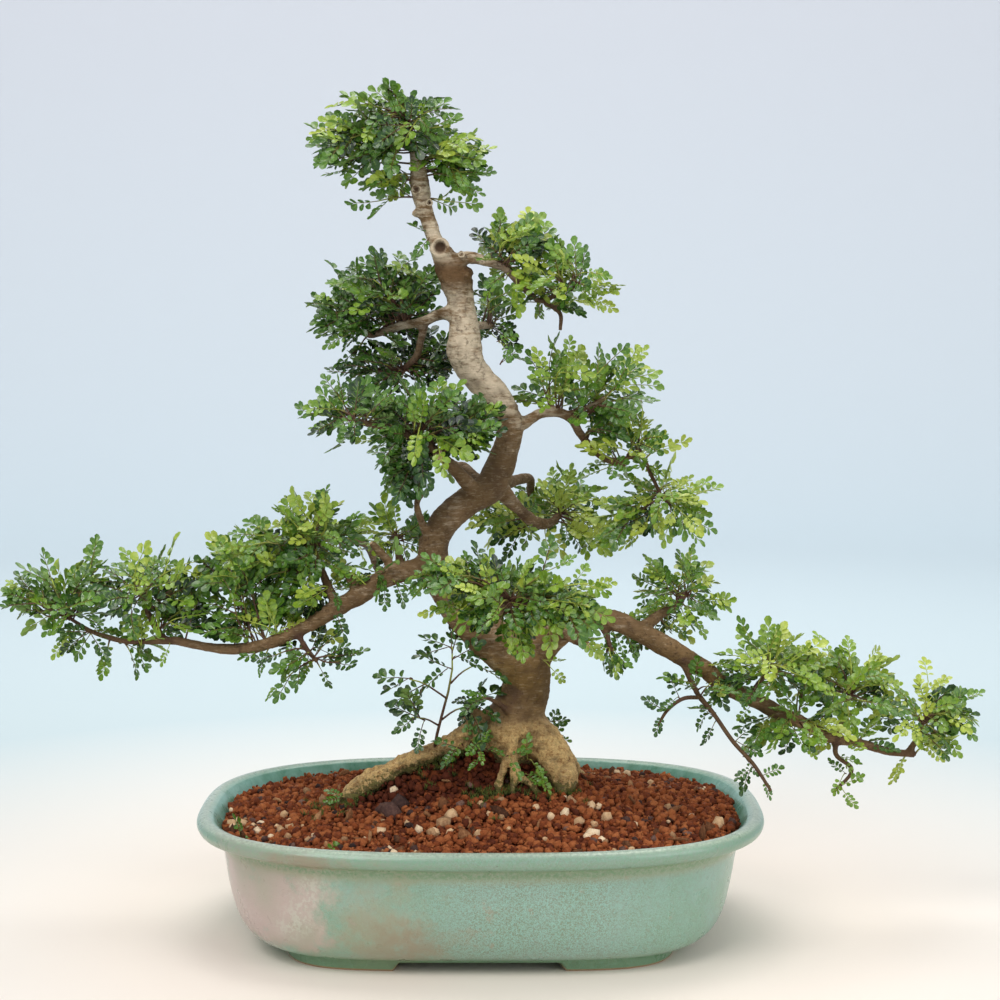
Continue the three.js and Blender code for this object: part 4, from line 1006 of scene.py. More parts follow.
def pot_mesh(hand_swell):
    """The pot's profile is carried round as superellipse rings: up the outside, over the rolled rim,
    down the inside and across the floor. The foot is a ring of its own profile, cut by a slot at
    each end and side by raising its underside there to the pot's bottom. Noise moves the walls by up
    to the hand swell, as a hand-pressed wall is, but not the rim."""
    outside = cut_corners(np.array(OUTSIDE_ROWS, float), 2)
    inside = cut_corners(np.array(INSIDE_ROWS, float), 2)
    rows = np.concatenate((np.array(FOOT_ROWS, float), outside, inside))
    turn = full_turn(216)
    across, deep = superellipse(rows[:, 0:1], rows[:, 1:2], rows[:, 3:4], turn)
    height = np.repeat(rows[:, 2:3], len(turn), 1)
    slots = (np.abs(across) < SLOT_ACROSS / 2) | (np.abs(deep) < SLOT_DEEP / 2)
    height = np.where(slots & (height < FOOT_HEIGHT), FOOT_HEIGHT, height)
    grid = np.stack((across + POT_X, deep, height), -1)
    wall = smooth_step(10, 40, height) * (1 - smooth_step(62, 68, height))
    sway = fractal_noise(grid / 1000 + 5, 0.055, 31) * wall
    grid = SHIFT + grid * MM + sway[..., None] * hand_swell * [0.7, 0.7, 0.0]
    ends = np.array([[POT_X, 0, FOOT_HEIGHT], [POT_X, 0, FLOOR_TOP]]) * MM + SHIFT
    places = np.concatenate((grid.reshape(-1, 3), ends))
    inner = np.zeros(len(places))
    inner[(len(rows) - len(inside)) * len(turn) : -2] = 1.0
    inner[-1] = 1.0
    shape = Shape()
    shape.add(places, capped_faces(len(rows), len(turn)), **glaze_values(places, inner))
    return shape.mesh("glazed_pot")


def glaze_values(places, inner):
    """Where the glaze differs, from each place's height and side: lilac at the front's left, olive
    and brownish left of the middle, crawled at the middle, olive in the hollow under the bead with a
    dark line at the top of it, brownish on the bead left of the middle, thin and with a painted
    highlight along the crest, and dark at the foot. Each patch is a bell, e to minus the square of the
    distance from its middle over its reach, or a smooth step."""
    x, y, z = from_foot(places).T
    outer = 1 - inner
    front = 1 - smooth_step(-35, 40, y)
    lean = x - 0.55 * (z - 40)
    lilac = (1 - smooth_step(-112, -82, x)) * smooth_step(-172, -150, x) * front * smooth_step(6, 20, z)
    pale = np.exp(-(((lean + 108) / 13) ** 2)) * front * smooth_step(10, 30, z)
    olive = np.exp(-(((x + 66) / 34) ** 2)) * front * (0.5 + 0.5 * smooth_step(60, 20, z))
    brown = np.exp(-(((x + 50) / 34) ** 2) - ((z - 22) / 15) ** 2) * front
    crawl = np.exp(-(((x - 22) / 58) ** 2)) * front + 0.35 * (1 - front) + 0.25
    neck = smooth_step(55, 60, z) * (1 - smooth_step(64.5, 66.5, z))
    under = smooth_step(58.5, 61.5, z) * (1 - smooth_step(65.5, 68, z))
    stain = np.exp(-(((x + 106) / 26) ** 2)) * front * smooth_step(61, 66, z) * (1 - smooth_step(72, 74, z))
    # The top of the rim: thin pale glaze and a painted highlight
    crest = smooth_step(73.6, 75.2, z)
    bead = smooth_step(66, 68, z)
    foot = 1 - smooth_step(5, 13, z)
    raw = (1 - smooth_step(0.6, 1.4, z)) + (z < 5.5) * (np.hypot(x - POT_X, y * 1.6) < 92)
    patches = {
        "lilac": lilac, "pale": pale, "olive": olive, "brown": brown, "crawl": np.clip(crawl, 0, 1),
        "neck": neck, "under": under, "bead": bead, "foot": foot, "stain": stain,
    }
    patches = {key: value * outer for key, value in patches.items()}
    return patches | {"crest": crest, "inner": inner, "raw": np.clip(raw, 0, 1)}


def bored(mesh, places, radius):
    """The mesh with a round hole cut straight through it at each place, by a Boolean modifier."""
    cutters = Shape()
    for x, y in places:
        path = np.array([[x, y, -2, radius], [x, y, 8, radius], [x, y, 20, radius]])
        cutters.add(*tube(in_metres(path), 40))
    cutter = bpy.data.objects.new("drain_cutter", cutters.mesh("drain_cutter"))
    bpy.context.scene.collection.objects.link(cutter)
    cut = {"object": cutter, "operation": "DIFFERENCE", "solver": "EXACT"}
    made = with_modifiers(mesh, [("BOOLEAN", cut)])
    bpy.data.objects.remove(cutter)
    return made


def screen_mesh(side, pitch, thread):
    """A drain screen: threads both ways at an even pitch, each passing over and under the others as
    a cosine of its length, inside a flat rim."""
    half, middle = 15.0, FLOOR_TOP + 0.75
    count = int(half * 2 / pitch) - 1
    lines = (np.arange(count) - (count - 1) / 2) * pitch
    along = np.linspace(-half + 0.8, half - 0.8, 4 * count + 1)
    shape = Shape()
    x0 = POT_X + side * DRAIN_SPACING / 2
    for turn in (0, 1):
        flip = np.where(np.arange(count) % 2, 1, -1) * (1 if turn else -1)
        wave = 0.22 * flip[:, None] * np.cos(along * math.pi / pitch)[None]
        first = np.broadcast_to(along, wave.shape)
        second = np.broadcast_to(lines[:, None], wave.shape)
        pair = (second, first) if turn else (first, second)
        paths = np.stack((pair[0] + x0, pair[1], wave + middle), -1) * MM + SHIFT
        corners, faces = many_tubes(paths, np.full(paths.shape[:2], thread * MM), 4)
        shape.add(corners, faces)
    rim = np.array([[-1, -1], [1, -1], [1, 1], [-1, 1]]) * half
    rings = [(1.0, -0.5), (1.0, 0.5), (0.92, 0.6), (0.92, -0.5)]
    grid = np.array([[[x * k + x0, y * k, middle + z] for x, y in rim] for k, z in rings]) * MM + SHIFT
    row, column = np.mgrid[0:4, 0:4]
    after, ahead = (column + 1) % 4, (row + 1) % 4
    quads = np.stack((row * 4 + column, row * 4 + after, ahead * 4 + after, ahead * 4 + column), -1)
    shape.add(grid.reshape(-1, 3), [quads.reshape(-1, 4)])
    return shape.mesh(f"drain_mesh_{1 if side < 0 else 2}")


# Wood

def ring_path(place, reach, thick, turn):
    """A ring that faces the front: at angle t it lies reach times cos t across and sin t up."""
    x, y, z = place
    flat = np.ones(len(turn))
    path = (x + reach * np.cos(turn), y * flat, z + reach * np.sin(turn), thick * flat)
    return in_metres(np.stack(path, -1))


def wood_mesh(voxel):
    """The stout limbs, stubs, burls and callus rings as tubes along their paths, joined into one skin
    by a voxel remesh and eased by a smooth, then given bark. The limbs' thin ends stay tubes of
    their own, and so do the pale lips of the scars, which are rings with three waves in a turn."""
    shape = Shape()
    for i, limb in enumerate(LIMBS):
        stout = limb[limb[:, 3] > 1.45 * MM]
        if len(stout) > 2:
            shape.add(*tube(stout, 32 if i == 0 else 20, trunk_swell if i == 0 else None))
    for limb in STUB_LIMBS:
        shape.add(*tube(limb, 16))
    for x, y, z, r in BURLS:
        rows = [[x, y, z + rise * r, wide * r] for rise, wide in BURL_ROWS]
        shape.add(*tube(in_metres(rows), 16))
    for x, y, z, ring, _, _ in SCARS:
        turn = np.linspace(0, 2 * math.pi, 25) + 0.3
        shape.add(*tube(ring_path((x, y, z), ring, 0.28 * ring, turn), 8))
    remesh = {"mode": "VOXEL", "voxel_size": voxel, "use_smooth_shade": True}
    smooth = {"factor": 0.5, "iterations": 2}
    skin = with_modifiers(shape.mesh("wood_skin"), [("REMESH", remesh), ("SMOOTH", smooth)])
    places, normals = corner_normals(skin)
    barked = Shape()
    places, values = bark(places, normals)
    barked.add(places, faces_of(skin), **values)
    for limb in LIMBS:
        thin = np.flatnonzero(limb[:, 3] <= 1.6 * MM)
        if len(thin) > 2:
            start = from_foot(limb[:1, :3])[0]
            root = float(start[2] < 125 and math.hypot(start[0], start[1]) < 90)
            # Thin twigs get a slight, even painted shade
            barked.add(*tube(limb[max(thin[0] - 2, 0) :], 7), twig=0.9 * (1 - root), root=root, shade=0.1)
    for x, y, z, ring, hollow, _ in SCARS:
        turn = np.linspace(0, 2 * math.pi, 29)
        reach = ring * (1 + 0.06 * np.sin(3 * turn + x))
        path = ring_path((x, y - 0.6, z), reach, 0.4 * (ring - 0.8 * hollow), turn)
        barked.add(*tube(path, 8), pale=0.9)
    mesh = barked.mesh("pepper_wood")
    bpy.data.meshes.remove(skin)
    return mesh


def trunk_swell(path, turn):
    """How much wider the trunk is at angle v: long ribs that run down into the roots, as the sum of
    a few cosines of v, strongest at the foot and turning slowly with the height."""
    z = from_foot(path[:, :3])[:, 2:3]
    strength = 0.05 + 0.13 * (1 - smooth_step(90, 150, z))
    ribs = 0.6 * np.cos(3 * turn + z * 0.02 + 0.8) + 0.4 * np.cos(5 * turn - z * 0.03 + 2.0)
    return 1 + strength * ribs


def bark(places, normals):
    """Bark on the joined skin, and the numbers that its finish reads. The push along the normal is
    fine noise, lumps, and wrinkles, which are noise squeezed along the height. It is stronger on the
    roots and on the rough band under the large scar, and a scar's hollow is pushed straight back."""
    x, y, z = from_foot(places).T
    index, _ = nearest(places, SAMPLES)
    radius = SAMPLES[index, 3] / MM
    near_foot = 1 - smooth_step(118, 146, np.hypot(x, y))
    root = (1 - smooth_step(116, 137, z)) * near_foot
    creased = np.exp(-(((z - 121) / 9) ** 2)) * near_foot
    stout = smooth_step(1.6, 5, radius)
    fine = fractal_noise(places, 3.4 * MM, 3)
    rough = fractal_noise(places, 5.5 * MM, 8, 4)
    wrinkle = fractal_noise(places * [0.3, 0.3, 1.0], 2.2 * MM, 5, 2)
    lump = fractal_noise(places, 13 * MM, 12, 2)
    push = (0.3 * fine + 0.2 * wrinkle + 0.65 * lump) * (0.35 + 0.65 * stout)
    push += root * (0.75 * rough + 0.6 * fine) + creased * 0.5 * wrinkle
    rust = np.exp(-(((z - 389) / 9) ** 4)) * (np.abs(x + 26) < 14)
    push += rust * (0.5 + 0.6 * fine + 0.5 * rough)
    hollow = np.zeros(len(places))
    pushed = places + normals * push[:, None] * MM
    for sx, sy, sz, _, inner, depth in SCARS:
        away = np.hypot(x - sx, z - sz) / inner
        share = (1 - smooth_step(0.75, 1.1, away)) * (y < sy + 3.5)
        pushed[:, 1] += share * depth * MM
        hollow = np.maximum(hollow, share)
    cut = np.zeros(len(places))
    for limb in STUB_LIMBS:
        end, before = limb[-1], limb[-3]
        facing = unit(end[:3] - before[:3])
        gap = places - end[:3]
        along = gap @ facing
        across = np.linalg.norm(gap - along[:, None] * facing, axis=1)
        cut = np.maximum(cut, smooth_step(-0.3 * MM, 0.25 * MM, along) * (across < 1.1 * end[3] + 0.3 * MM))
    upper = smooth_step(285, 330, z) * 0.45
    patch = np.exp(-(((z - 326) / 15) ** 2)) * (np.abs(x + 6) < 40) * 0.6
    moss = 0.2 * np.exp(-(((z - 150) / 26) ** 2)) * near_foot
    near_soil = 1 - smooth_step(2, 15, z - soil_height(x, y))
    moss += 0.95 * near_soil * near_foot * (1 - smooth_step(-14, 2, y))
    values = {
        "pale": np.clip(0.2 + upper + patch - 0.2 * smooth_step(60, 120, np.abs(x)), 0, 1) * (1 - root),
        "root": root,
        "neck": np.exp(-(((z - 150) / 20) ** 2)) * near_foot,
        # brown: a painted shadow of the pads above, on the middle of the trunk
        "brown": smooth_step(165, 205, z) * (1 - smooth_step(292, 322, z)),
        "rust": rust,
        "moss": moss,
        "cut": cut,
        "hollow": hollow,
        "twig": (1 - smooth_step(1.8, 3.4, radius)) * (1 - root),
        # Painted shade in the hollows that the push makes
        "shade": np.clip(-1.1 * push / (0.6 + 0.4 * root), 0, 1),
    }
    return pushed, values


# Foliage

# Half the outline of a leaflet of length 1, from its foot to its tip
LEAFLET_EDGE = np.array([[0.0, 0.0], [0.28, 0.23], [0.72, 0.36], [1.0, 0.15]])
# For three and for four pairs of leaflets: where each pair stands on the stalk, and its length
LEAF_KINDS = {
    3: ([0.26, 0.45, 0.64], [0.22, 0.25, 0.26]),
    4: ([0.20, 0.35, 0.50, 0.65], [0.18, 0.22, 0.24, 0.23]),
}
# Where the leaflet at the stalk's end stands, and its length
END_STATION, END_LENGTH = 0.74, 0.26


def leaflet():
    """One leaflet of length 1 along x: its outline, mirrored, is raised at the sides, and a point
    over and a point under the middle close it as a thin lens. Corners, faces, and how far across."""
    rim = np.concatenate((LEAFLET_EDGE, LEAFLET_EDGE[:0:-1] * [1, -1]))
    count = len(rim)
    raised = 0.1 * (np.abs(rim[:, 1:]) > 0)
    corners = np.concatenate((np.hstack((rim, raised)), [[0.52, 0, 0.02], [0.52, 0, -0.05]]))
    i = np.arange(count)
    after = (i + 1) % count
    top = np.stack((np.full(count, count), i, after), -1)
    bottom = np.stack((np.full(count, count + 1), after, i), -1)
    across = np.append(np.abs(rim[:, 1]) > 0, [False, False]).astype(float)
    return corners, np.concatenate((top, bottom)), across


def leaf_template(pairs, variants, draw):
    """A compound leaf of length 1 along x: pairs of leaflets along a thin stalk and one at its end.
    A leaflet is rolled about its own length, then turned out from the stalk, and each variant draws
    its own angles and sizes. Returns variants by corners, faces, underside, across and stalk."""
    stations, lengths = LEAF_KINDS[pairs]
    stations = np.append(np.repeat(stations, 2), END_STATION)
    lengths = np.append(np.repeat(lengths, 2), END_LENGTH)
    turns = np.append(np.repeat(np.linspace(64, 46, pairs), 2), 0.0)
    sides = np.append(np.tile([1.0, -1.0], pairs), 1.0)
    shape = (variants, len(stations))
    turns = np.radians(sides * turns + draw.normal(0, 7, shape))
    rolls = draw.normal(0, 0.22, shape) + 0.12 * sides
    drops = draw.normal(-0.03, 0.16, shape)
    lengths = lengths * draw.uniform(0.86, 1.14, shape)
    corners, faces, across = leaflet()
    x, y, z = corners.T
    z = z[None, None] + drops[..., None] * x**2
    cos, sin = np.cos(rolls)[..., None], np.sin(rolls)[..., None]
    y, z = y * cos - z * sin, y * sin + z * cos
    out = np.cos(turns)[..., None] * x - np.sin(turns)[..., None] * y
    sideways = np.sin(turns)[..., None] * x + np.cos(turns)[..., None] * y
    placed = np.stack((out, sideways, z), -1) * lengths[..., None, None]
    placed[..., 0] += stations[:, None]
    placed[..., 1] += sides[:, None] * 0.012 * (stations[:, None] < END_STATION)
    blades = placed.reshape(variants, -1, 3)
    count = len(stations)
    blade_faces = repeated(faces, count, len(corners))
    stalk_path = np.array([[[0.0, 0, 0], [0.4, 0, 0], [0.78, 0, 0]]])
    stalk, stalk_faces = many_tubes(stalk_path, np.array([[0.019, 0.015, 0.009]]), 3)
    stalk = np.broadcast_to(stalk, (variants, *stalk.shape[1:]))
    stalk_faces = [f + blades.shape[1] for f in stalk_faces]
    triangles = np.concatenate((blade_faces, stalk_faces[1], stalk_faces[2]))
    below = np.tile(np.repeat([0.0, 1.0], len(faces) // 2), count)
    under = np.concatenate((below, np.zeros(len(triangles) - len(blade_faces))))
    across = np.concatenate((np.tile(across, count), np.ones(stalk.shape[1])))
    stem = np.concatenate((np.zeros(blades.shape[1]), np.ones(stalk.shape[1])))
    return np.concatenate((blades, stalk), 1), [triangles, stalk_faces[0]], under, across, stem


class Foliage:
    """Shoots and leaves gathered for one piece."""

    def __init__(self, look, seed):
        self.look, self.draw = look, np.random.default_rng(seed)
        self.templates = {
            pairs: leaf_template(pairs, 8, np.random.default_rng(pairs)) for pairs in LEAF_KINDS
        }
        self.leaves, self.stems = [], []

    def shoot(self, start, end, bow, youth, centre, leaves, length, thick=1.0):
        """Many shoots at once. Each is the quadratic curve from start to end whose middle is lifted
        by bow. One leaf lies along its end, and the others stand back from there at an even
        spacing, a golden angle apart, at a slant that grows. A leaf's top faces the light the tree
        grew in and away from the centre, and its length lies across that light."""
        draw, count = self.draw, len(start)
        middle = (start + end) / 2 + bow
        u = np.linspace(0, 1, 6)[None, :, None]
        paths = (1 - u) ** 2 * start[:, None] + 2 * u * (1 - u) * middle[:, None] + u**2 * end[:, None]
        radii = (np.linspace(1.0, 0.5, 6)[None] * thick * 0.62 * MM) * np.ones((count, 1))
        youth = np.broadcast_to(np.asarray(youth, float), count)
        self.stems.append((paths, radii, youth))
        long = np.linalg.norm(end - start, axis=1) + 1e-6
        first = draw.uniform(0, 2 * math.pi, count)
        for k in range(leaves):
            u = (1 - k * self.look.spacing / long + draw.normal(0, 0.02, count))[:, None]
            some = (u[:, 0] > 0.12) | (k < 2)
            u = np.clip(u, 0.12, 1)
            at = (1 - u) ** 2 * start + 2 * u * (1 - u) * middle + u**2 * end
            ahead = unit((1 - u) * (middle - start) + u * (end - middle))
            side = unit(np.cross(ahead, UP) + 1e-6)
            lift = np.cross(side, ahead)
            turn = (first + k * GOLDEN + draw.normal(0, 0.25, count))[:, None]
            out = np.cos(turn) * side + 0.7 * np.sin(turn) * lift
            slant = np.radians(min(28 + 11 * k, 78) * (k > 0)) + draw.normal(0, 0.14, count)[:, None]
            facing = np.cos(slant) * ahead + np.sin(slant) * unit(out) + [0, 0, 0.1]
            facing = unit(facing - 0.5 * (facing @ LIGHT)[:, None] * LIGHT)
            top = 0.75 * LIGHT + self.look.outward * unit(at - centre)
            top = top + self.look.disorder * draw.normal(size=(count, 3))
            size = length * draw.uniform(0.75, 1.15, count) * (1 - 0.16 * (k == 0))
            tint = youth - 0.025 * k + draw.normal(0, 0.07, count)
            self.leaves.append([values[some] for values in (at, facing, top, size, tint)])

    def mesh(self, name, keep_clear=True):
        """Every leaf set into place: its length, side and top directions times its template, bent
        down along its length by an arch and up at its sides by a fold. A leaf inside the wood, where
        it is to keep clear, or outside the model's box is left out."""
        draw = self.draw
        at, facing, top, size, tint = (np.concatenate([leaf[i] for leaf in self.leaves]) for i in range(5))
        count = len(at)
        side = unit(np.cross(top, facing))
        up = np.cross(facing, side)
        arch = draw.normal(0.16, 0.13, count)[:, None]
        fold = np.abs(draw.normal(0.12, 0.1, count))[:, None]
        bend = draw.normal(0, 0.09, count)[:, None]
        kinds = draw.choice([3, 3, 4, 4, 4], count)
        shape = Shape()
        kept = np.ones(count, bool)
        if keep_clear:
            middle = at + 0.5 * size[:, None] * facing
            index, away = nearest(middle, SAMPLES)
            kept &= away > SAMPLES[index, 3] + 1.2 * MM
        for pairs, (corners, faces, under, across, stem) in self.templates.items():
            chosen = np.flatnonzero((kinds == pairs) & kept)
            x, y, z = corners[draw.integers(0, len(corners), len(chosen))].transpose(2, 0, 1)[..., None]
            z = z - arch[chosen, None] * x**2 + fold[chosen, None] * np.abs(y)
            y = y + bend[chosen, None] * x**2
            placed = x * facing[chosen, None] + y * side[chosen, None] + z * up[chosen, None]
            placed = at[chosen, None] + size[chosen, None, None] * placed
            inside = ((placed > CAD_LOW + 0.3 * MM) & (placed < CAD_HIGH - 0.3 * MM)).all(axis=(1, 2))
            placed, chosen = placed[inside], chosen[inside]
            shape.add(
                placed, [repeated(f, len(chosen), placed.shape[1]) for f in faces],
                {"under": [np.tile(under, len(chosen)), 0.0]}, smooth=False,
                youth=np.repeat(tint[chosen], placed.shape[1]),
                across=np.tile(across, len(chosen)),
                stem=np.tile(stem, len(chosen)),
            )
        for paths, radii, youth in self.stems:
            corners, faces = many_tubes(paths, radii, 5)
            rise = np.repeat(np.linspace(0, 1, paths.shape[1]), 5)
            rise = np.concatenate((rise, [0, 1]))[None] * 0.75 + 0.5 * youth[:, None] - 0.15
            shape.add(corners, faces, {"under": [0.0, 0.0, 0.0]}, youth=rise.ravel(), across=1.0, stem=1.0)
        return shape.mesh(name)


def pad_foliage(name, look):
    """The leaves of one pad. Through each of its lobes, the shoots' ends are spread by the golden
    angle, from its top to well under its middle and from its core to its skin, and each shoot starts
    on the nearest limb. Single shoots then reach the far tips."""
    foliage = Foliage(look, sum(map(ord, name)))
    draw = foliage.draw
    young = BRIGHT.get(name, BRIGHT_SHARE)
    tone = TONE.get(name, 0.0)
    leaf_length = look.leaf_length * SMALL.get(name, 1.0)
    long = leaf_length / MM
    for lobe in np.array(PADS[name], float):
        centre, full = lobe[:3], lobe[3:]
        half = np.maximum(full - long * np.array([0.5, 0.5, 0.32]), 4.0)
        area = (full[0] * full[1] + full[0] * full[2] + full[1] * full[2]) / 3
        count = max(5, round(area * look.density * FULLNESS.get(name, 1.0)))
        rise = 0.97 - 1.72 * (np.arange(count) + 0.5) / count
        flat = np.sqrt(1 - rise**2)
        turn = np.arange(count) * GOLDEN + draw.normal(0, 0.2, count)
        away = np.stack((flat * np.cos(turn), flat * np.sin(turn), rise), -1)
        reach = draw.uniform(0.35, 1.0, (count, 1)) ** 0.6
        ends = (centre + away * half * reach) * MM + SHIFT
        roots = (centre + away * half * [0.35, 0.35, 0.15]) * MM + SHIFT
        starts = SAMPLES[nearest(roots, SAMPLES, 0.4)[0], :3] + draw.normal(0, 1.0, (count, 3)) * MM
        far = np.linalg.norm(ends - starts, axis=1)[:, None]
        bow = 0.17 * far * (UP + 0.9 * draw.normal(size=(count, 3)))
        fresh = draw.random(count) < young
        # Leaves deep and low in a lobe are darker and those high and outside brighter: partly older leaves
        # inside and young ones at the tips, partly painted shade in the core and painted light on the top
        plain = 0.47 + 0.22 * rise + 0.9 * (reach[:, 0] - 0.78) + draw.normal(0, 0.13, count)
        youth = np.where(fresh, draw.uniform(0.78, 1.0, count), plain) + tone
        size = leaf_length * (1 + 0.1 * fresh)
        low = centre - [0, 0, 0.9 * full[2]]
        foliage.shoot(starts, ends, bow, youth, low * MM + SHIFT, 9, size)
    tips = in_metres(TIPS.get(name, np.zeros((0, 3))))
    if len(tips):
        middle = np.array(PADS[name], float)[:, :3] * MM + SHIFT
        closest = middle[nearest(tips, middle)[0]]
        starts = SAMPLES[nearest(0.45 * tips + 0.55 * closest, SAMPLES, 0.4)[0], :3]
        heading = unit(tips - (0.5 * starts + 0.5 * closest))
        ends = tips - heading * leaf_length * 0.84
        far = np.linalg.norm(ends - starts, axis=1)[:, None]
        bow = 0.1 * far * (UP + 0.4 * draw.normal(size=tips.shape))
        fresh = draw.random(len(tips)) < min(1, young + 0.25)
        bright = draw.uniform(0.8, 1.0, len(tips))
        youth = np.where(fresh, bright, 0.6 + draw.normal(0, 0.07, len(tips))) + tone
        foliage.shoot(starts, ends, bow, youth, closest, 6, leaf_length, 1.1)
    return foliage.mesh(f"leaves_{name}")


def sprig_foliage(name, rows, look, seed, length, leaves, bare_stems):
    """Short leafy shoots, each from a start to a tip, and any bare stems that carry them."""
    foliage = Foliage(look, seed)
    starts, tips = (in_metres([row[i] for row in rows]) for i in (0, 1))
    youth = np.array([row[2] for row in rows])
    long = np.linalg.norm(tips - starts, axis=1)[:, None]
    heading = unit(tips - starts)
    ends = starts + heading * np.maximum(long - length * 0.9, 0.2 * long)
    bow = 0.1 * long * UP
    foliage.shoot(starts, ends, bow, 0.3 + 0.6 * youth, starts - 0.02 * UP, leaves, length, 0.8)
    for limb in bare_stems:
        picked = limb[np.linspace(0, len(limb) - 1, 6).astype(int)]
        foliage.stems.append((picked[None, :, :3], picked[None, :, 3], np.array([0.5])))
    return foliage.mesh(name, False)


# Soil and what lies on it

def soil_height(x, y):
    """How high the soil stands at a place: its edge in the pot, plus a bell-shaped mound whose height
    falls as e to minus the square of the distance from the tree over the mound's reach, plus the
    bank, whose crest is read from its rows and falls in the same way to its front and back."""
    away = np.hypot((x - MOUND_X) / MOUND_STRETCH, y) / MOUND_REACH
    off = (y - BANK_Y) / np.where(y < BANK_Y, BANK_FRONT, BANK_BACK)
    bank = np.interp(x, BANK[:, 0], BANK[:, 1]) * np.exp(-off * off)
    return SOIL_EDGE + MOUND_HEIGHT * np.exp(-away * away) + bank


def pot_inside(z):
    """The inner wall's half length, half depth and exponent at a height."""
    rows = np.array(INSIDE_ROWS, float)[::-1]
    return [np.interp(z, rows[:, 2], rows[:, i]) for i in (0, 1, 3)]


def soil_bed():
    """The body of the soil under the grains: superellipse rings down the pot's inner wall, and rings
    over the top at the mound's height with noise of a few millimetres."""
    a, b, n = pot_inside(SOIL_EDGE)
    turn = full_turn(96)
    rows = []
    for z in (FLOOR_TOP + 1.6, 17.5, 35.0, 52.0, 64.0):
        wall = pot_inside(z)
        across, deep = superellipse(wall[0] - 0.6, wall[1] - 0.6, wall[2], turn)
        rows.append(np.stack((across + POT_X, deep, np.full(len(turn), z)), -1))
    for share in np.linspace(1, 0.04, 26):
        across, deep = superellipse((a - 0.8) * share, (b - 0.8) * share, n, turn)
        height = soil_height(across + POT_X, deep) - 3.2
        rows.append(np.stack((across + POT_X, deep, height), -1))
    grid = np.array(rows)
    grid[5:-1, :, 2] += 1.2 * fractal_noise(grid[5:-1] / 1000 + 3, 0.008, 6)
    ends = np.array([[POT_X, 0, FLOOR_TOP + 1.6], [POT_X, 0, soil_height(POT_X, 0) - 3.2]])
    places = np.concatenate((grid.reshape(-1, 3), ends)) * MM + SHIFT
    shape = Shape()
    shape.add(places, capped_faces(len(grid), len(turn)), tint=0.3)
    return shape.mesh("soil_bed")


def grain_templates(fine, variants, draw):
    """Irregular grains of radius 1: the corners of a cube moved out to a ball, with each face split
    into four round its raised middle where they are fine, then stretched and moved by their own
    draw."""
    corners = np.array(list(itertools.product((-1.0, 1.0), repeat=3)))
    sides = np.array([[0, 1, 3, 2], [4, 6, 7, 5], [0, 4, 5, 1], [2, 3, 7, 6], [0, 2, 6, 4], [1, 5, 7, 3]])
    faces = sides
    if fine:
        middles = 8 + np.arange(6)
        corners = np.concatenate((corners, 1.6 * corners[sides].mean(1)))
        middles = np.repeat(middles[:, None], 4, 1)
        faces = np.stack((sides, np.roll(sides, -1, 1), middles), -1).reshape(-1, 3)
    rounded = unit(corners) * 0.72 + corners * 0.22
    stretch = draw.uniform(0.7, 1.2, (variants, 1, 3))
    moved = rounded[None] * stretch * (1 + draw.normal(0, 0.14, (variants, len(corners), 1)))
    return moved + draw.normal(0, 0.05, moved.shape), faces


def scattered(shape, templates, faces, places, sizes, turns, tints):
    """Adds one grain at each place: a template turned by its own matrix and scaled."""
    pick = np.arange(len(places)) % len(templates)
    corners = np.einsum("nij,nkj->nki", turns, templates[pick]) * sizes[:, None, None] + places[:, None]
    size = templates.shape[1]
    shape.add(corners, [repeated(faces, len(places), size)], tint=np.repeat(tints, size))


def soil_spots(pitch, draw, inset=2.5):
    """Places over the soil's top: an even lattice at this pitch, each place shifted by up to half of
    it, kept where it lies inside the pot's inner wall and outside the wood."""
    a, b, n = pot_inside(SOIL_EDGE)
    x, y = np.meshgrid(np.arange(-a, a, pitch), np.arange(-b, b, pitch * 0.87))
    x = x + (np.arange(len(x)) % 2)[:, None] * pitch / 2
    spots = np.stack((x.ravel(), y.ravel()), -1) + draw.uniform(-0.42, 0.42, (x.size, 2)) * pitch
    inside = (np.abs(spots[:, 0]) / (a - inset)) ** n + (np.abs(spots[:, 1]) / (b - inset)) ** n < 1
    spots = spots[inside]
    x, y = spots[:, 0] + POT_X, spots[:, 1]
    places = np.stack((x, y, soil_height(x, y)), -1)
    index, away = nearest(places * MM + SHIFT, SAMPLES)
    return places[away > SAMPLES[index, 3] * 0.95]


def painted_root_shade(places):
    """How much painted shade the soil gets: 1 along the front foot of the left root and of the trunk,
    falling as a bell to each side."""
    x, y = places[:, 0], places[:, 1]
    along = smooth_step(-98, -84, x) * (1 - smooth_step(14, 34, x))
    return along * np.exp(-(((y + 17) / 12) ** 2))


def clay_grains(look):
    """Fired clay grains in three layers: plain ones under, rounder ones of mixed size over them, and
    crumbs on top. They are darker with painted shade along the front foot of the left root and trunk."""
    draw = np.random.default_rng(21)
    shape = Shape()
    layers = [
        (False, 0.92, (-2.2, -1.4), (0.44, 0.6), 1.0, (0.1, 0.6)),
        (True, 1.02, (-1.4, 1.2), (0.36, 0.66), 1.0, (0.0, 1.0)),
        (False, 0.8, (0.4, 2.0), (0.14, 0.32), 0.6, (0.2, 1.0)),
    ]
    for fine, pitch, rise, size, share, tint in layers:
        spots = soil_spots(look.grain / MM * pitch, draw)
        spots = spots[draw.random(len(spots)) < share]
        spots[:, 2] += draw.uniform(*rise, len(spots))
        templates, faces = grain_templates(fine, 16, draw)
        sizes = draw.uniform(*size, len(spots)) * look.grain
        # Painted shade: grains along the front foot of the left root and trunk are darker
        tints = draw.uniform(*tint, len(spots)) - 0.75 * painted_root_shade(spots)
        scattered(shape, templates, faces, spots * MM + SHIFT, sizes, turned(draw, len(spots)), tints)
    return shape.mesh("clay_grains")


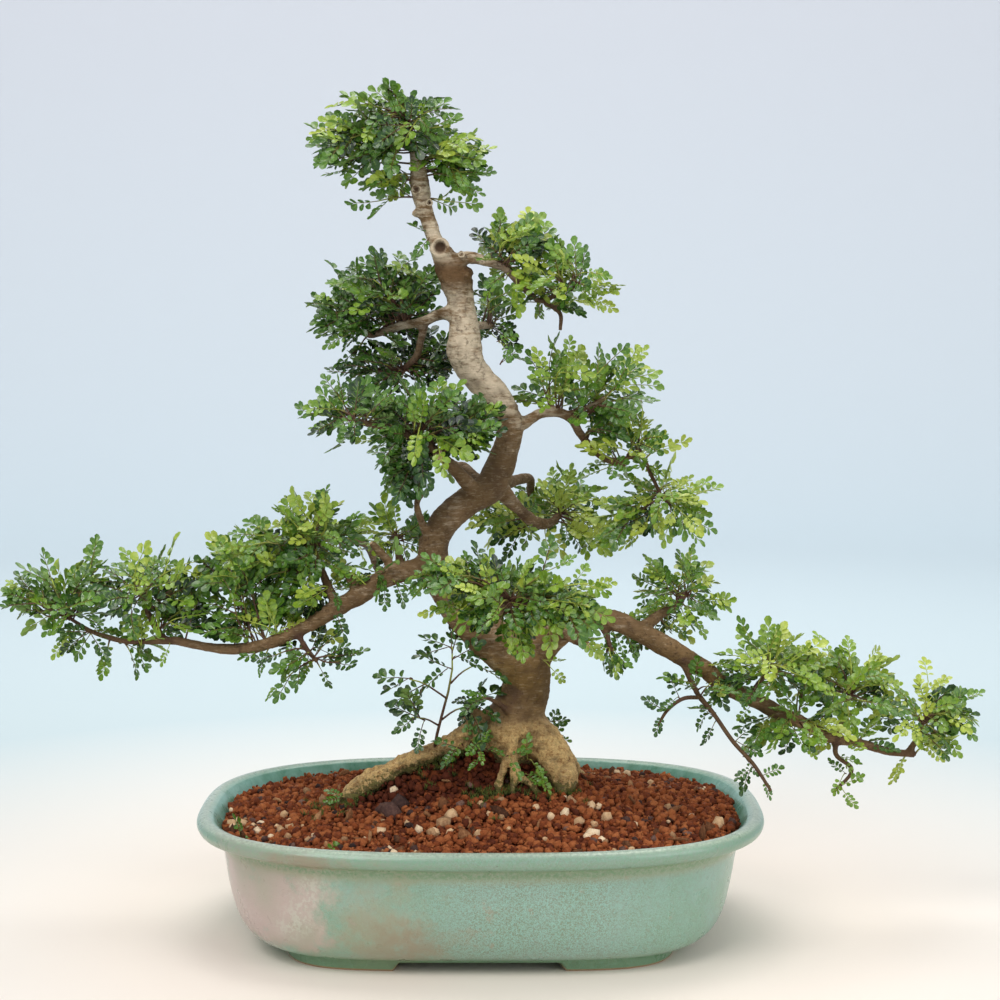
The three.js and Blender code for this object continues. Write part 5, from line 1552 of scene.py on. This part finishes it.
def loose_pieces(name, seed, count, size, rise, flatten=(1, 1, 1), patches=(), patch_share=0.0):
    """Grains of another kind, lying on the clay: spread evenly, with a share of them drawn near the
    given patches as x, y and spread. Flatten stretches them, as bark chips are."""
    draw = np.random.default_rng(seed)
    spots = soil_spots(3.2, draw, 4.0)
    weight = np.full(len(spots), (1 - patch_share) / len(spots))
    for x, y, spread in patches:
        near = np.exp(-((spots[:, 0] - x) ** 2 + (spots[:, 1] - y) ** 2) / spread**2)
        weight += patch_share / len(patches) * near / near.sum()
    spots = spots[draw.choice(len(spots), count, replace=False, p=weight / weight.sum())]
    spots[:, 2] += rise
    templates, faces = grain_templates(True, 12, draw)
    templates = templates * np.array(flatten)
    sizes = size * draw.uniform(0.6, 1.25, count)
    shape = Shape()
    scattered(shape, templates, faces, spots * MM + SHIFT, sizes, turned(draw, count), draw.random(count))
    return shape.mesh(name)


def moss_mesh():
    """Moss: blades in tufts on the soil along the feet of the roots. A blade is a cone of three
    sides from its foot to a leaning tip, and tufts are fewer away from the wood."""
    draw = np.random.default_rng(77)
    tufts = soil_spots(2.6, draw)
    index, away = nearest(tufts * MM + SHIFT, SAMPLES)
    close = away / MM - SAMPLES[index, 3] / MM
    left = tufts[:, 0] < 0
    chance = np.exp(-np.maximum(close, 0) / np.where(left, 6.0, 2.6))
    chance = chance * np.where(tufts[:, 1] < 10, 0.95, 0.5)
    patch = fractal_noise(tufts / 1000 + 2, 0.017, 9) > -0.25
    tufts = tufts[(draw.random(len(tufts)) < chance) & patch]
    blades = 12
    centre = np.repeat(tufts, blades, 0) + draw.normal(0, 1.1, (len(tufts) * blades, 3)) * [1, 1, 0.25]
    centre[:, 2] += 1.2
    tall = draw.uniform(1.2, 3.4, len(centre))[:, None]
    lean = draw.normal(0, 0.42, (len(centre), 2))
    tip = centre + tall * np.column_stack((lean, np.ones(len(centre))))
    turn = draw.uniform(0, 2 * math.pi, (len(centre), 1)) + np.arange(3) * 2 * math.pi / 3
    wide = draw.uniform(0.28, 0.6, len(centre))[:, None]
    feet = np.stack((wide * np.cos(turn), wide * np.sin(turn), np.full(turn.shape, -1.2)), -1)
    corners = np.concatenate((centre[:, None] + feet, tip[:, None]), 1) * MM + SHIFT
    faces = np.array([[0, 1, 3], [1, 2, 3], [2, 0, 3], [2, 1, 0]])
    tint = np.repeat(draw.uniform(-0.1, 0.3, len(corners))[:, None], 4, 1) + [0, 0, 0, 0.65]
    shape = Shape()
    shape.add(corners, [repeated(faces, len(corners), 4)], tint=tint.ravel())
    return shape.mesh("moss")


# Stage: the camera's place from the foot of the tree, and how many degrees it looks down

CAMERA_PLACE = np.array([0.0, -1.3, 0.387])
CAMERA_TILT = 5.73


def backdrop_mesh(floor_radius, wall_height):
    """A bowl of revolution: a flat floor, a quarter turn up from it and a wall. The number on it is
    the way along the profile from its middle, in metres."""
    bend = np.linspace(0, math.pi / 2, 16)
    curve = 0.9
    profile = np.concatenate((
        np.stack((np.linspace(0.02, floor_radius, 24), np.zeros(24)), -1),
        np.stack((floor_radius + curve * np.sin(bend[1:]), curve * (1 - np.cos(bend[1:]))), -1),
        np.stack((np.full(8, floor_radius + curve), np.linspace(curve, wall_height, 9)[1:]), -1),
    ))
    around = 96
    turn = full_turn(around)
    out, rise = profile[:, :1], profile[:, 1:]
    grid = np.stack((out * np.cos(turn), out * np.sin(turn), rise * np.ones(around)), -1)
    faces = grid_faces(len(profile), around)[:, ::-1]
    run = np.concatenate(([0.0], np.cumsum(np.linalg.norm(np.diff(profile, axis=0), axis=1))))
    column = np.arange(around)
    middle = np.full(around, len(profile) * around)
    fan = np.stack((middle, column, (column + 1) % around), -1)
    corners = np.concatenate((grid.reshape(-1, 3), np.zeros((1, 3)))) + SHIFT
    shape = Shape()
    shape.add(corners, [faces, fan], run=np.append(np.repeat(run, around), 0.0))
    return shape.mesh("backdrop")


# Settings

class BonsaiPotSettings(bpy.types.PropertyGroup):
    """Sizes and glaze colours of the pot and its drain meshes."""

    celadon: colour_setting("Celadon", "Main colour of the glaze", 138, 169, 153)
    green: colour_setting("Green", "Greener clouds in the glaze", 120, 158, 128)
    turquoise: colour_setting("Turquoise", "Winding lines of thick glaze", 152, 204, 192)
    mottle: colour_setting("Mottle", "Grey-brown ground between the lines", 134, 136, 122)
    lilac: colour_setting("Lilac", "Greyed lilac glaze at the front's left", 194, 168, 162)
    ash: colour_setting("Ash", "Warm grey glaze beside the lilac", 174, 162, 146)
    olive: colour_setting("Olive", "Olive glaze left of the middle", 156, 152, 126)
    brown: colour_setting("Brown", "Brownish glaze left of the middle", 148, 126, 102)
    neck: colour_setting("Neck", "Smooth olive glaze in the hollow under the bead", 152, 154, 124)
    rim: colour_setting("Rim", "Glaze on the rolled rim", 134, 152, 134)
    inner: colour_setting("Inside", "Glaze on the pot's inner wall", 90, 152, 126)
    foot: colour_setting("Foot", "Dark glaze under the bead and at the foot", 108, 146, 106)
    # Crest: the pale specks and thin glaze, and also the painted highlight along the rim's top
    crest: colour_setting("Crest", "Thin pale glaze along edges and in specks", 204, 212, 194)
    speck: colour_setting("Specks", "Dark pin specks in the glaze", 70, 66, 54)
    clay: colour_setting("Bare clay", "Unglazed clay under the foot", 176, 140, 104)
    plastic: colour_setting("Drain mesh", "Plastic of the drain meshes", 26, 28, 28)
    dust: colour_setting("Mesh dust", "Clay dust on the drain meshes", 96, 78, 62)
    hand_swell: length_setting("Hand swell", "How far the walls stray from their true shape", 0.7)
    mesh_pitch: length_setting("Mesh pitch", "Distance between the threads of a drain mesh", 2.5)
    mesh_thread: length_setting("Mesh thread", "Half thickness of a thread of a drain mesh", 0.36)


class BonsaiWoodSettings(bpy.types.PropertyGroup):
    """Fineness and bark colours of the trunk, roots and branches."""

    voxel: length_setting("Voxel", "Fineness of the joined skin of the wood", 1.3)
    tan: colour_setting("Tan", "Light bark", 150, 118, 84)
    pale: colour_setting("Pale", "Whitish smooth bark on the upper trunk", 212, 192, 164)
    brown: colour_setting("Brown", "Middle brown bark", 104, 80, 50)
    rust: colour_setting("Rust", "Rough brown band under the large scar", 104, 76, 46)
    neck: colour_setting("Neck", "Olive brown bark of the trunk's neck", 134, 104, 46)
    # Dark also colours the painted shade in the bark's hollows
    dark: colour_setting("Dark", "Cracks and specks in the bark", 72, 52, 34)
    lenticel: colour_setting("Lenticels", "Small pale pores", 222, 200, 164)
    root: colour_setting("Root", "Ochre bark of the roots", 232, 196, 132)
    root_dark: colour_setting("Root shade", "Darker bark of the roots", 150, 108, 62)
    twig: colour_setting("Twig", "Dark reddish brown of twigs", 84, 58, 46)
    cut: colour_setting("Cut", "Cut faces of pruned stubs", 206, 160, 128)
    hollow: colour_setting("Hollow", "Dark wood inside old scars", 92, 70, 52)
    moss: colour_setting("Moss", "Moss on bark and soil", 84, 94, 36)
    moss_dark: colour_setting("Moss shade", "Dark foot of the moss", 40, 42, 22)
    moss_tip: colour_setting("Moss tip", "Fresh tips of the moss", 110, 124, 48)


class BonsaiLeafSettings(bpy.types.PropertyGroup):
    """Size, number and greens of the leaves."""

    leaf_length: length_setting("Leaf length", "Length of a compound leaf", 22.0)
    spacing: length_setting("Leaf spacing", "Distance along a shoot from leaf to leaf", 6.5)
    outward: share_setting("Outward", "How much the leaves turn away from their pad's middle", 0.6, 2)
    disorder: share_setting("Disorder", "How unevenly the leaves face", 0.5, 1)
    density: FloatProperty(
        name="Shoot density", description="Shoots to each square millimetre of a pad's mean section",
        default=0.026, min=0.002, max=0.1, precision=4,
    )
    # Shade: the darkest leaf colour, for old leaves and also for the painted shade in a pad's core
    shade: colour_setting("Shade", "Oldest leaves, inside a pad", 22, 44, 16)
    old: colour_setting("Old", "Old leaves", 46, 82, 25)
    green: colour_setting("Green", "Full-grown leaves", 86, 126, 36)
    bright: colour_setting("Bright", "Leaves of this season", 126, 156, 42)
    young: colour_setting("Young", "Newest leaves at the tips", 170, 184, 70)
    rib: colour_setting("Midrib", "Pale line along a leaflet", 160, 190, 92)
    underside: colour_setting("Underside", "Paler underside of a leaflet", 140, 168, 90)
    twig: colour_setting("Shoot", "Brown foot of a shoot", 92, 62, 44)


class BonsaiSoilSettings(bpy.types.PropertyGroup):
    """Grain size and colours of the soil and what lies on it."""

    grain: length_setting("Grain", "Width of a clay grain", 4.4)
    pumice_count: count_setting("Pumice number", "Number of pumice grains", 80)
    lava_count: count_setting("Lava number", "Number of lava grains", 110)
    chip_count: count_setting("Bark chip number", "Number of bark chips", 70)
    clay_dark: colour_setting("Clay shade", "Darkest clay grains", 84, 38, 22)
    clay: colour_setting("Clay", "Clay grains", 136, 70, 36)
    clay_light: colour_setting("Clay light", "Driest clay grains", 168, 100, 58)
    pumice_dark: colour_setting("Pumice shade", "Dark side of pumice", 150, 112, 80)
    pumice: colour_setting("Pumice", "Pumice grains", 214, 176, 134)
    pumice_light: colour_setting("Pumice light", "Palest pumice", 238, 214, 180)
    lava_dark: colour_setting("Lava shade", "Darkest lava", 46, 34, 32)
    lava: colour_setting("Lava", "Lava grains", 84, 60, 54)
    lava_light: colour_setting("Lava light", "Palest lava", 126, 96, 84)
    chip_dark: colour_setting("Chip shade", "Dark bark chips", 70, 42, 28)
    chip: colour_setting("Chip", "Bark chips", 128, 84, 54)
    chip_light: colour_setting("Chip light", "Pale bark chips", 184, 138, 96)


class BonsaiStageSettings(bpy.types.PropertyGroup):
    """The floor, its light and the camera."""

    near: colour_setting("Floor", "Backdrop under the pot", 243, 232, 221)
    behind: colour_setting("Behind", "Backdrop behind the pot", 195, 209, 212)
    middle: colour_setting("Middle", "Backdrop at half its height", 198, 211, 217)
    far: colour_setting("Top", "Backdrop at its top", 207, 208, 213)
    floor_radius: length_setting("Floor radius", "Radius of the flat floor", 1900.0, 10.0)
    wall_height: length_setting("Wall height", "Height of the backdrop's wall", 2200.0, 10.0)
    lens: FloatProperty(
        name="Lens", description="Focal length of the camera", default=79.704, min=20, max=200,
        unit="CAMERA",
    )


SETTINGS = {
    "bonsai_pot": BonsaiPotSettings,
    "bonsai_wood": BonsaiWoodSettings,
    "bonsai_leaf": BonsaiLeafSettings,
    "bonsai_soil": BonsaiSoilSettings,
    "bonsai_stage": BonsaiStageSettings,
}


# Operators

class BonsaiPot(bpy.types.Operator):
    """Build the glazed oval pot"""

    bl_idname = "bonsai.pot"
    bl_label = "Pot"

    def execute(self, context):
        look = context.scene.bonsai_pot
        drains = [(POT_X + side * DRAIN_SPACING / 2, 0.0) for side in (-1, 1)]
        mesh = bored(pot_mesh(look.hand_swell), drains, DRAIN_RADIUS)
        new_piece("glazed_pot", mesh, glaze_finish(look), ["pot"])
        return {"FINISHED"}


class BonsaiDrainMeshes(bpy.types.Operator):
    """Build the woven drain meshes on the pot's floor"""

    bl_idname = "bonsai.drain_meshes"
    bl_label = "Drain meshes"

    def execute(self, context):
        look = context.scene.bonsai_pot
        finish = plastic_finish(look)
        for number, side in enumerate((-1, 1), 1):
            mesh = screen_mesh(side, look.mesh_pitch / MM, look.mesh_thread / MM)
            new_piece(f"drain_mesh_{number}", mesh, finish, [f"drain_screen_{number}"])
        return {"FINISHED"}


class BonsaiWood(bpy.types.Operator):
    """Build the trunk with its roots, branches, twigs and pruned stubs"""

    bl_idname = "bonsai.wood"
    bl_label = "Wood"

    def execute(self, context):
        look = context.scene.bonsai_wood
        new_piece("pepper_wood", wood_mesh(look.voxel), bark_finish(look), ["wood"])
        return {"FINISHED"}


class BonsaiLeaves(bpy.types.Operator):
    """Build the leafy shoots of every pad"""

    bl_idname = "bonsai.leaves"
    bl_label = "Leaves"

    def execute(self, context):
        look = context.scene.bonsai_leaf
        finish = leaf_finish("pepper_leaf", look)
        young = leaf_finish("young_pepper_leaf", look)
        for name in PADS:
            front = name == "front"
            colour, slot = (young, "young_leaf") if front else (finish, "leaf")
            new_piece(f"leaves_{name}", pad_foliage(name, look), colour, [f"foliage_{name}"])
        return {"FINISHED"}


class BonsaiSprigs(bpy.types.Operator):
    """Build the root sprout, the single sprigs on the wood and the small weeds on the soil"""

    bl_idname = "bonsai.sprigs"
    bl_label = "Sprout, sprigs and weeds"

    def execute(self, context):
        look = context.scene.bonsai_leaf
        finish = bpy.data.materials["pepper_leaf"]
        kinds = [
            ("leaves_sprout", SPROUT_TIPS, 5, 1.1, 2, SPROUT_LIMBS, ["foliage_sprout"]),
            ("leaves_sprigs", SPRIGS, 6, 0.8, 4, [], []),
            ("leaves_weeds", WEEDS, 7, 0.74, 4, [], []),
        ]
        for name, rows, seed, share, leaves, stems, nodes in kinds:
            mesh = sprig_foliage(name, rows, look, seed, share * look.leaf_length, leaves, stems)
            new_piece(name, mesh, finish, nodes)
        return {"FINISHED"}


class BonsaiSoil(bpy.types.Operator):
    """Build the soil bed and the clay grains on it"""

    bl_idname = "bonsai.soil"
    bl_label = "Soil"

    def execute(self, context):
        look = context.scene.bonsai_soil
        finish = grain_finish("fired_clay", look.clay_dark, look.clay, look.clay_light, 420.0, 0.7)
        new_piece("soil_bed", soil_bed(), finish, ["soil"])
        new_piece("clay_grains", clay_grains(look), finish)
        return {"FINISHED"}


class BonsaiTopDressing(bpy.types.Operator):
    """Build the pumice, lava grains and bark chips that lie on the soil"""

    bl_idname = "bonsai.top_dressing"
    bl_label = "Top dressing"

    def execute(self, context):
        look = context.scene.bonsai_soil
        wide = look.grain * 0.5
        edge = [[-120, -70, 30], [-60, -95, 30], [60, -80, 40], [-146, -44, 12]]
        heap = [[-40, -50, 12], [-56, -64, 14], [-30, -76, 12], [40, -60, 16], [-150, -40, 8]]
        pumice = look.pumice_dark, look.pumice, look.pumice_light
        lava = look.lava_dark, look.lava, look.lava_light
        kinds = [
            ("pumice_grains", 31, look.pumice_count, wide * 1.05, 1.2, (1, 1, 1), edge, 0.5, pumice),
            ("pumice_stones", 34, 20, wide * 1.75, 1.4, (1.1, 0.9, 0.8), heap, 0.9, pumice),
            ("lava_grains", 32, look.lava_count, wide * 0.95, 1.0, (1, 1, 1), edge, 0.2, lava),
            ("lava_stones", 35, 4, wide * 2.6, 1.6, (1.1, 0.9, 0.8), [[-60, -38, 7]], 0.97, lava),
            ("bark_chips", 33, look.chip_count, wide * 1.5, 1.8, (1.4, 0.75, 0.32), edge, 0.3,
             (look.chip_dark, look.chip, look.chip_light)),
        ]
        for name, seed, count, size, rise, flatten, patches, share, colours in kinds:
            mesh = loose_pieces(name, seed, count, size, rise, flatten, patches, share)
            new_piece(name, mesh, grain_finish(f"{name}_finish", *colours, 520.0, 0.6))
        return {"FINISHED"}


class BonsaiMoss(bpy.types.Operator):
    """Build the moss along the feet of the roots"""

    bl_idname = "bonsai.moss"
    bl_label = "Moss"

    def execute(self, context):
        new_piece("moss", moss_mesh(), moss_finish(context.scene.bonsai_wood))
        return {"FINISHED"}


class BonsaiStage(bpy.types.Operator):
    """Build the pale backdrop, the soft lights and the camera"""

    bl_idname = "bonsai.stage"
    bl_label = "Stage"

    def execute(self, context):
        look, scene = context.scene.bonsai_stage, context.scene
        paper, nodes, shader = new_finish("backdrop_paper")
        run = look.floor_radius + look.wall_height
        along = nodes.remap(nodes.attribute("run"), 0.0, run)
        colour = nodes.ramp(along, [
            (0.0, look.near), (0.05, look.near), (0.16, look.behind), (0.5, look.middle), (0.8, look.far),
        ])
        wire(paper, shader, Base_Color=colour, Roughness=0.9, Specular_IOR_Level=0.1)
        mesh = backdrop_mesh(look.floor_radius, look.wall_height)
        mesh.materials.append(paper)
        backdrop = bpy.data.objects.new("backdrop", mesh)
        scene.collection.objects.link(backdrop)
        backdrop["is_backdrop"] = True
        self.light("key_light", (-0.9, -1.5, 1.7), 1.3, 27.0, (1.0, 0.98, 0.95))
        self.light("fill_light", (1.5, -1.1, 1.0), 1.4, 14.0, (0.98, 0.99, 1.0))
        self.light("top_light", (0.1, 0.35, 1.9), 1.2, 16.0, (1.0, 0.99, 0.97))
        self.light("wall_light", (0.0, 1.2, 1.9), 2.0, 24.0, (0.96, 0.98, 1.0), (0.0, 2.8, 0.6))
        world = bpy.data.worlds.new("soft_room")
        world.use_nodes = True
        background = world.node_tree.nodes["Background"].inputs
        background["Color"].default_value = filled(srgb(240, 242, 246))
        background["Strength"].default_value = 0.5
        scene.world = world
        camera = bpy.data.objects.new("photo_camera", bpy.data.cameras.new("photo_camera"))
        camera.data.lens = look.lens
        camera.data.sensor_width = 36.0
        camera.location = SHIFT + CAMERA_PLACE
        camera.rotation_euler = (math.radians(90 - CAMERA_TILT), 0.0, 0.0)
        scene.collection.objects.link(camera)
        scene.camera = camera
        scene.view_settings.view_transform = "Standard"
        return {"FINISHED"}

    def light(self, name, place, size, power, colour, aim=(0.0, 0.0, 0.25)):
        """A soft square light that faces the tree and isn't seen itself."""
        data = bpy.data.lights.new(name, "AREA")
        data.size, data.energy, data.color = size, power, colour
        lamp = bpy.data.objects.new(name, data)
        lamp.location = place
        heading = Vector(aim) - Vector(place)
        lamp.rotation_euler = heading.to_track_quat("-Z", "Y").to_euler()
        lamp.visible_camera = False
        bpy.context.scene.collection.objects.link(lamp)


OPERATORS = [
    BonsaiPot, BonsaiDrainMeshes, BonsaiWood, BonsaiLeaves, BonsaiSprigs, BonsaiSoil, BonsaiTopDressing,
    BonsaiMoss, BonsaiStage,
]


class BonsaiPanel(bpy.types.Panel):
    """Lists the pieces of the bonsai and their settings"""

    bl_idname = "VIEW3D_PT_bonsai"
    bl_label = "Chinese Pepper Bonsai"
    bl_space_type = "VIEW_3D"
    bl_region_type = "UI"
    bl_category = "Bonsai"

    def draw(self, context):
        for kind in OPERATORS:
            self.layout.operator(kind.bl_idname)
        for key, group in SETTINGS.items():
            box = self.layout.box()
            for name in group.__annotations__:
                box.prop(getattr(context.scene, key), name)


def register():
    """Registers the classes, and puts each group of settings on the scene."""
    for kind in (*SETTINGS.values(), *OPERATORS, BonsaiPanel):
        bpy.utils.register_class(kind)
    for key, group in SETTINGS.items():
        setattr(bpy.types.Scene, key, PointerProperty(type=group))


def unregister():
    """Takes back what register did, in the other order."""
    for key in SETTINGS:
        delattr(bpy.types.Scene, key)
    for kind in (BonsaiPanel, *OPERATORS, *SETTINGS.values()):
        bpy.utils.unregister_class(kind)


def main():
    """Builds every piece and the stage."""
    register()
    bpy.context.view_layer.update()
    for kind in OPERATORS:
        group, call = kind.bl_idname.split(".")
        getattr(getattr(bpy.ops, group), call)()


if __name__ == "__main__":
    main()
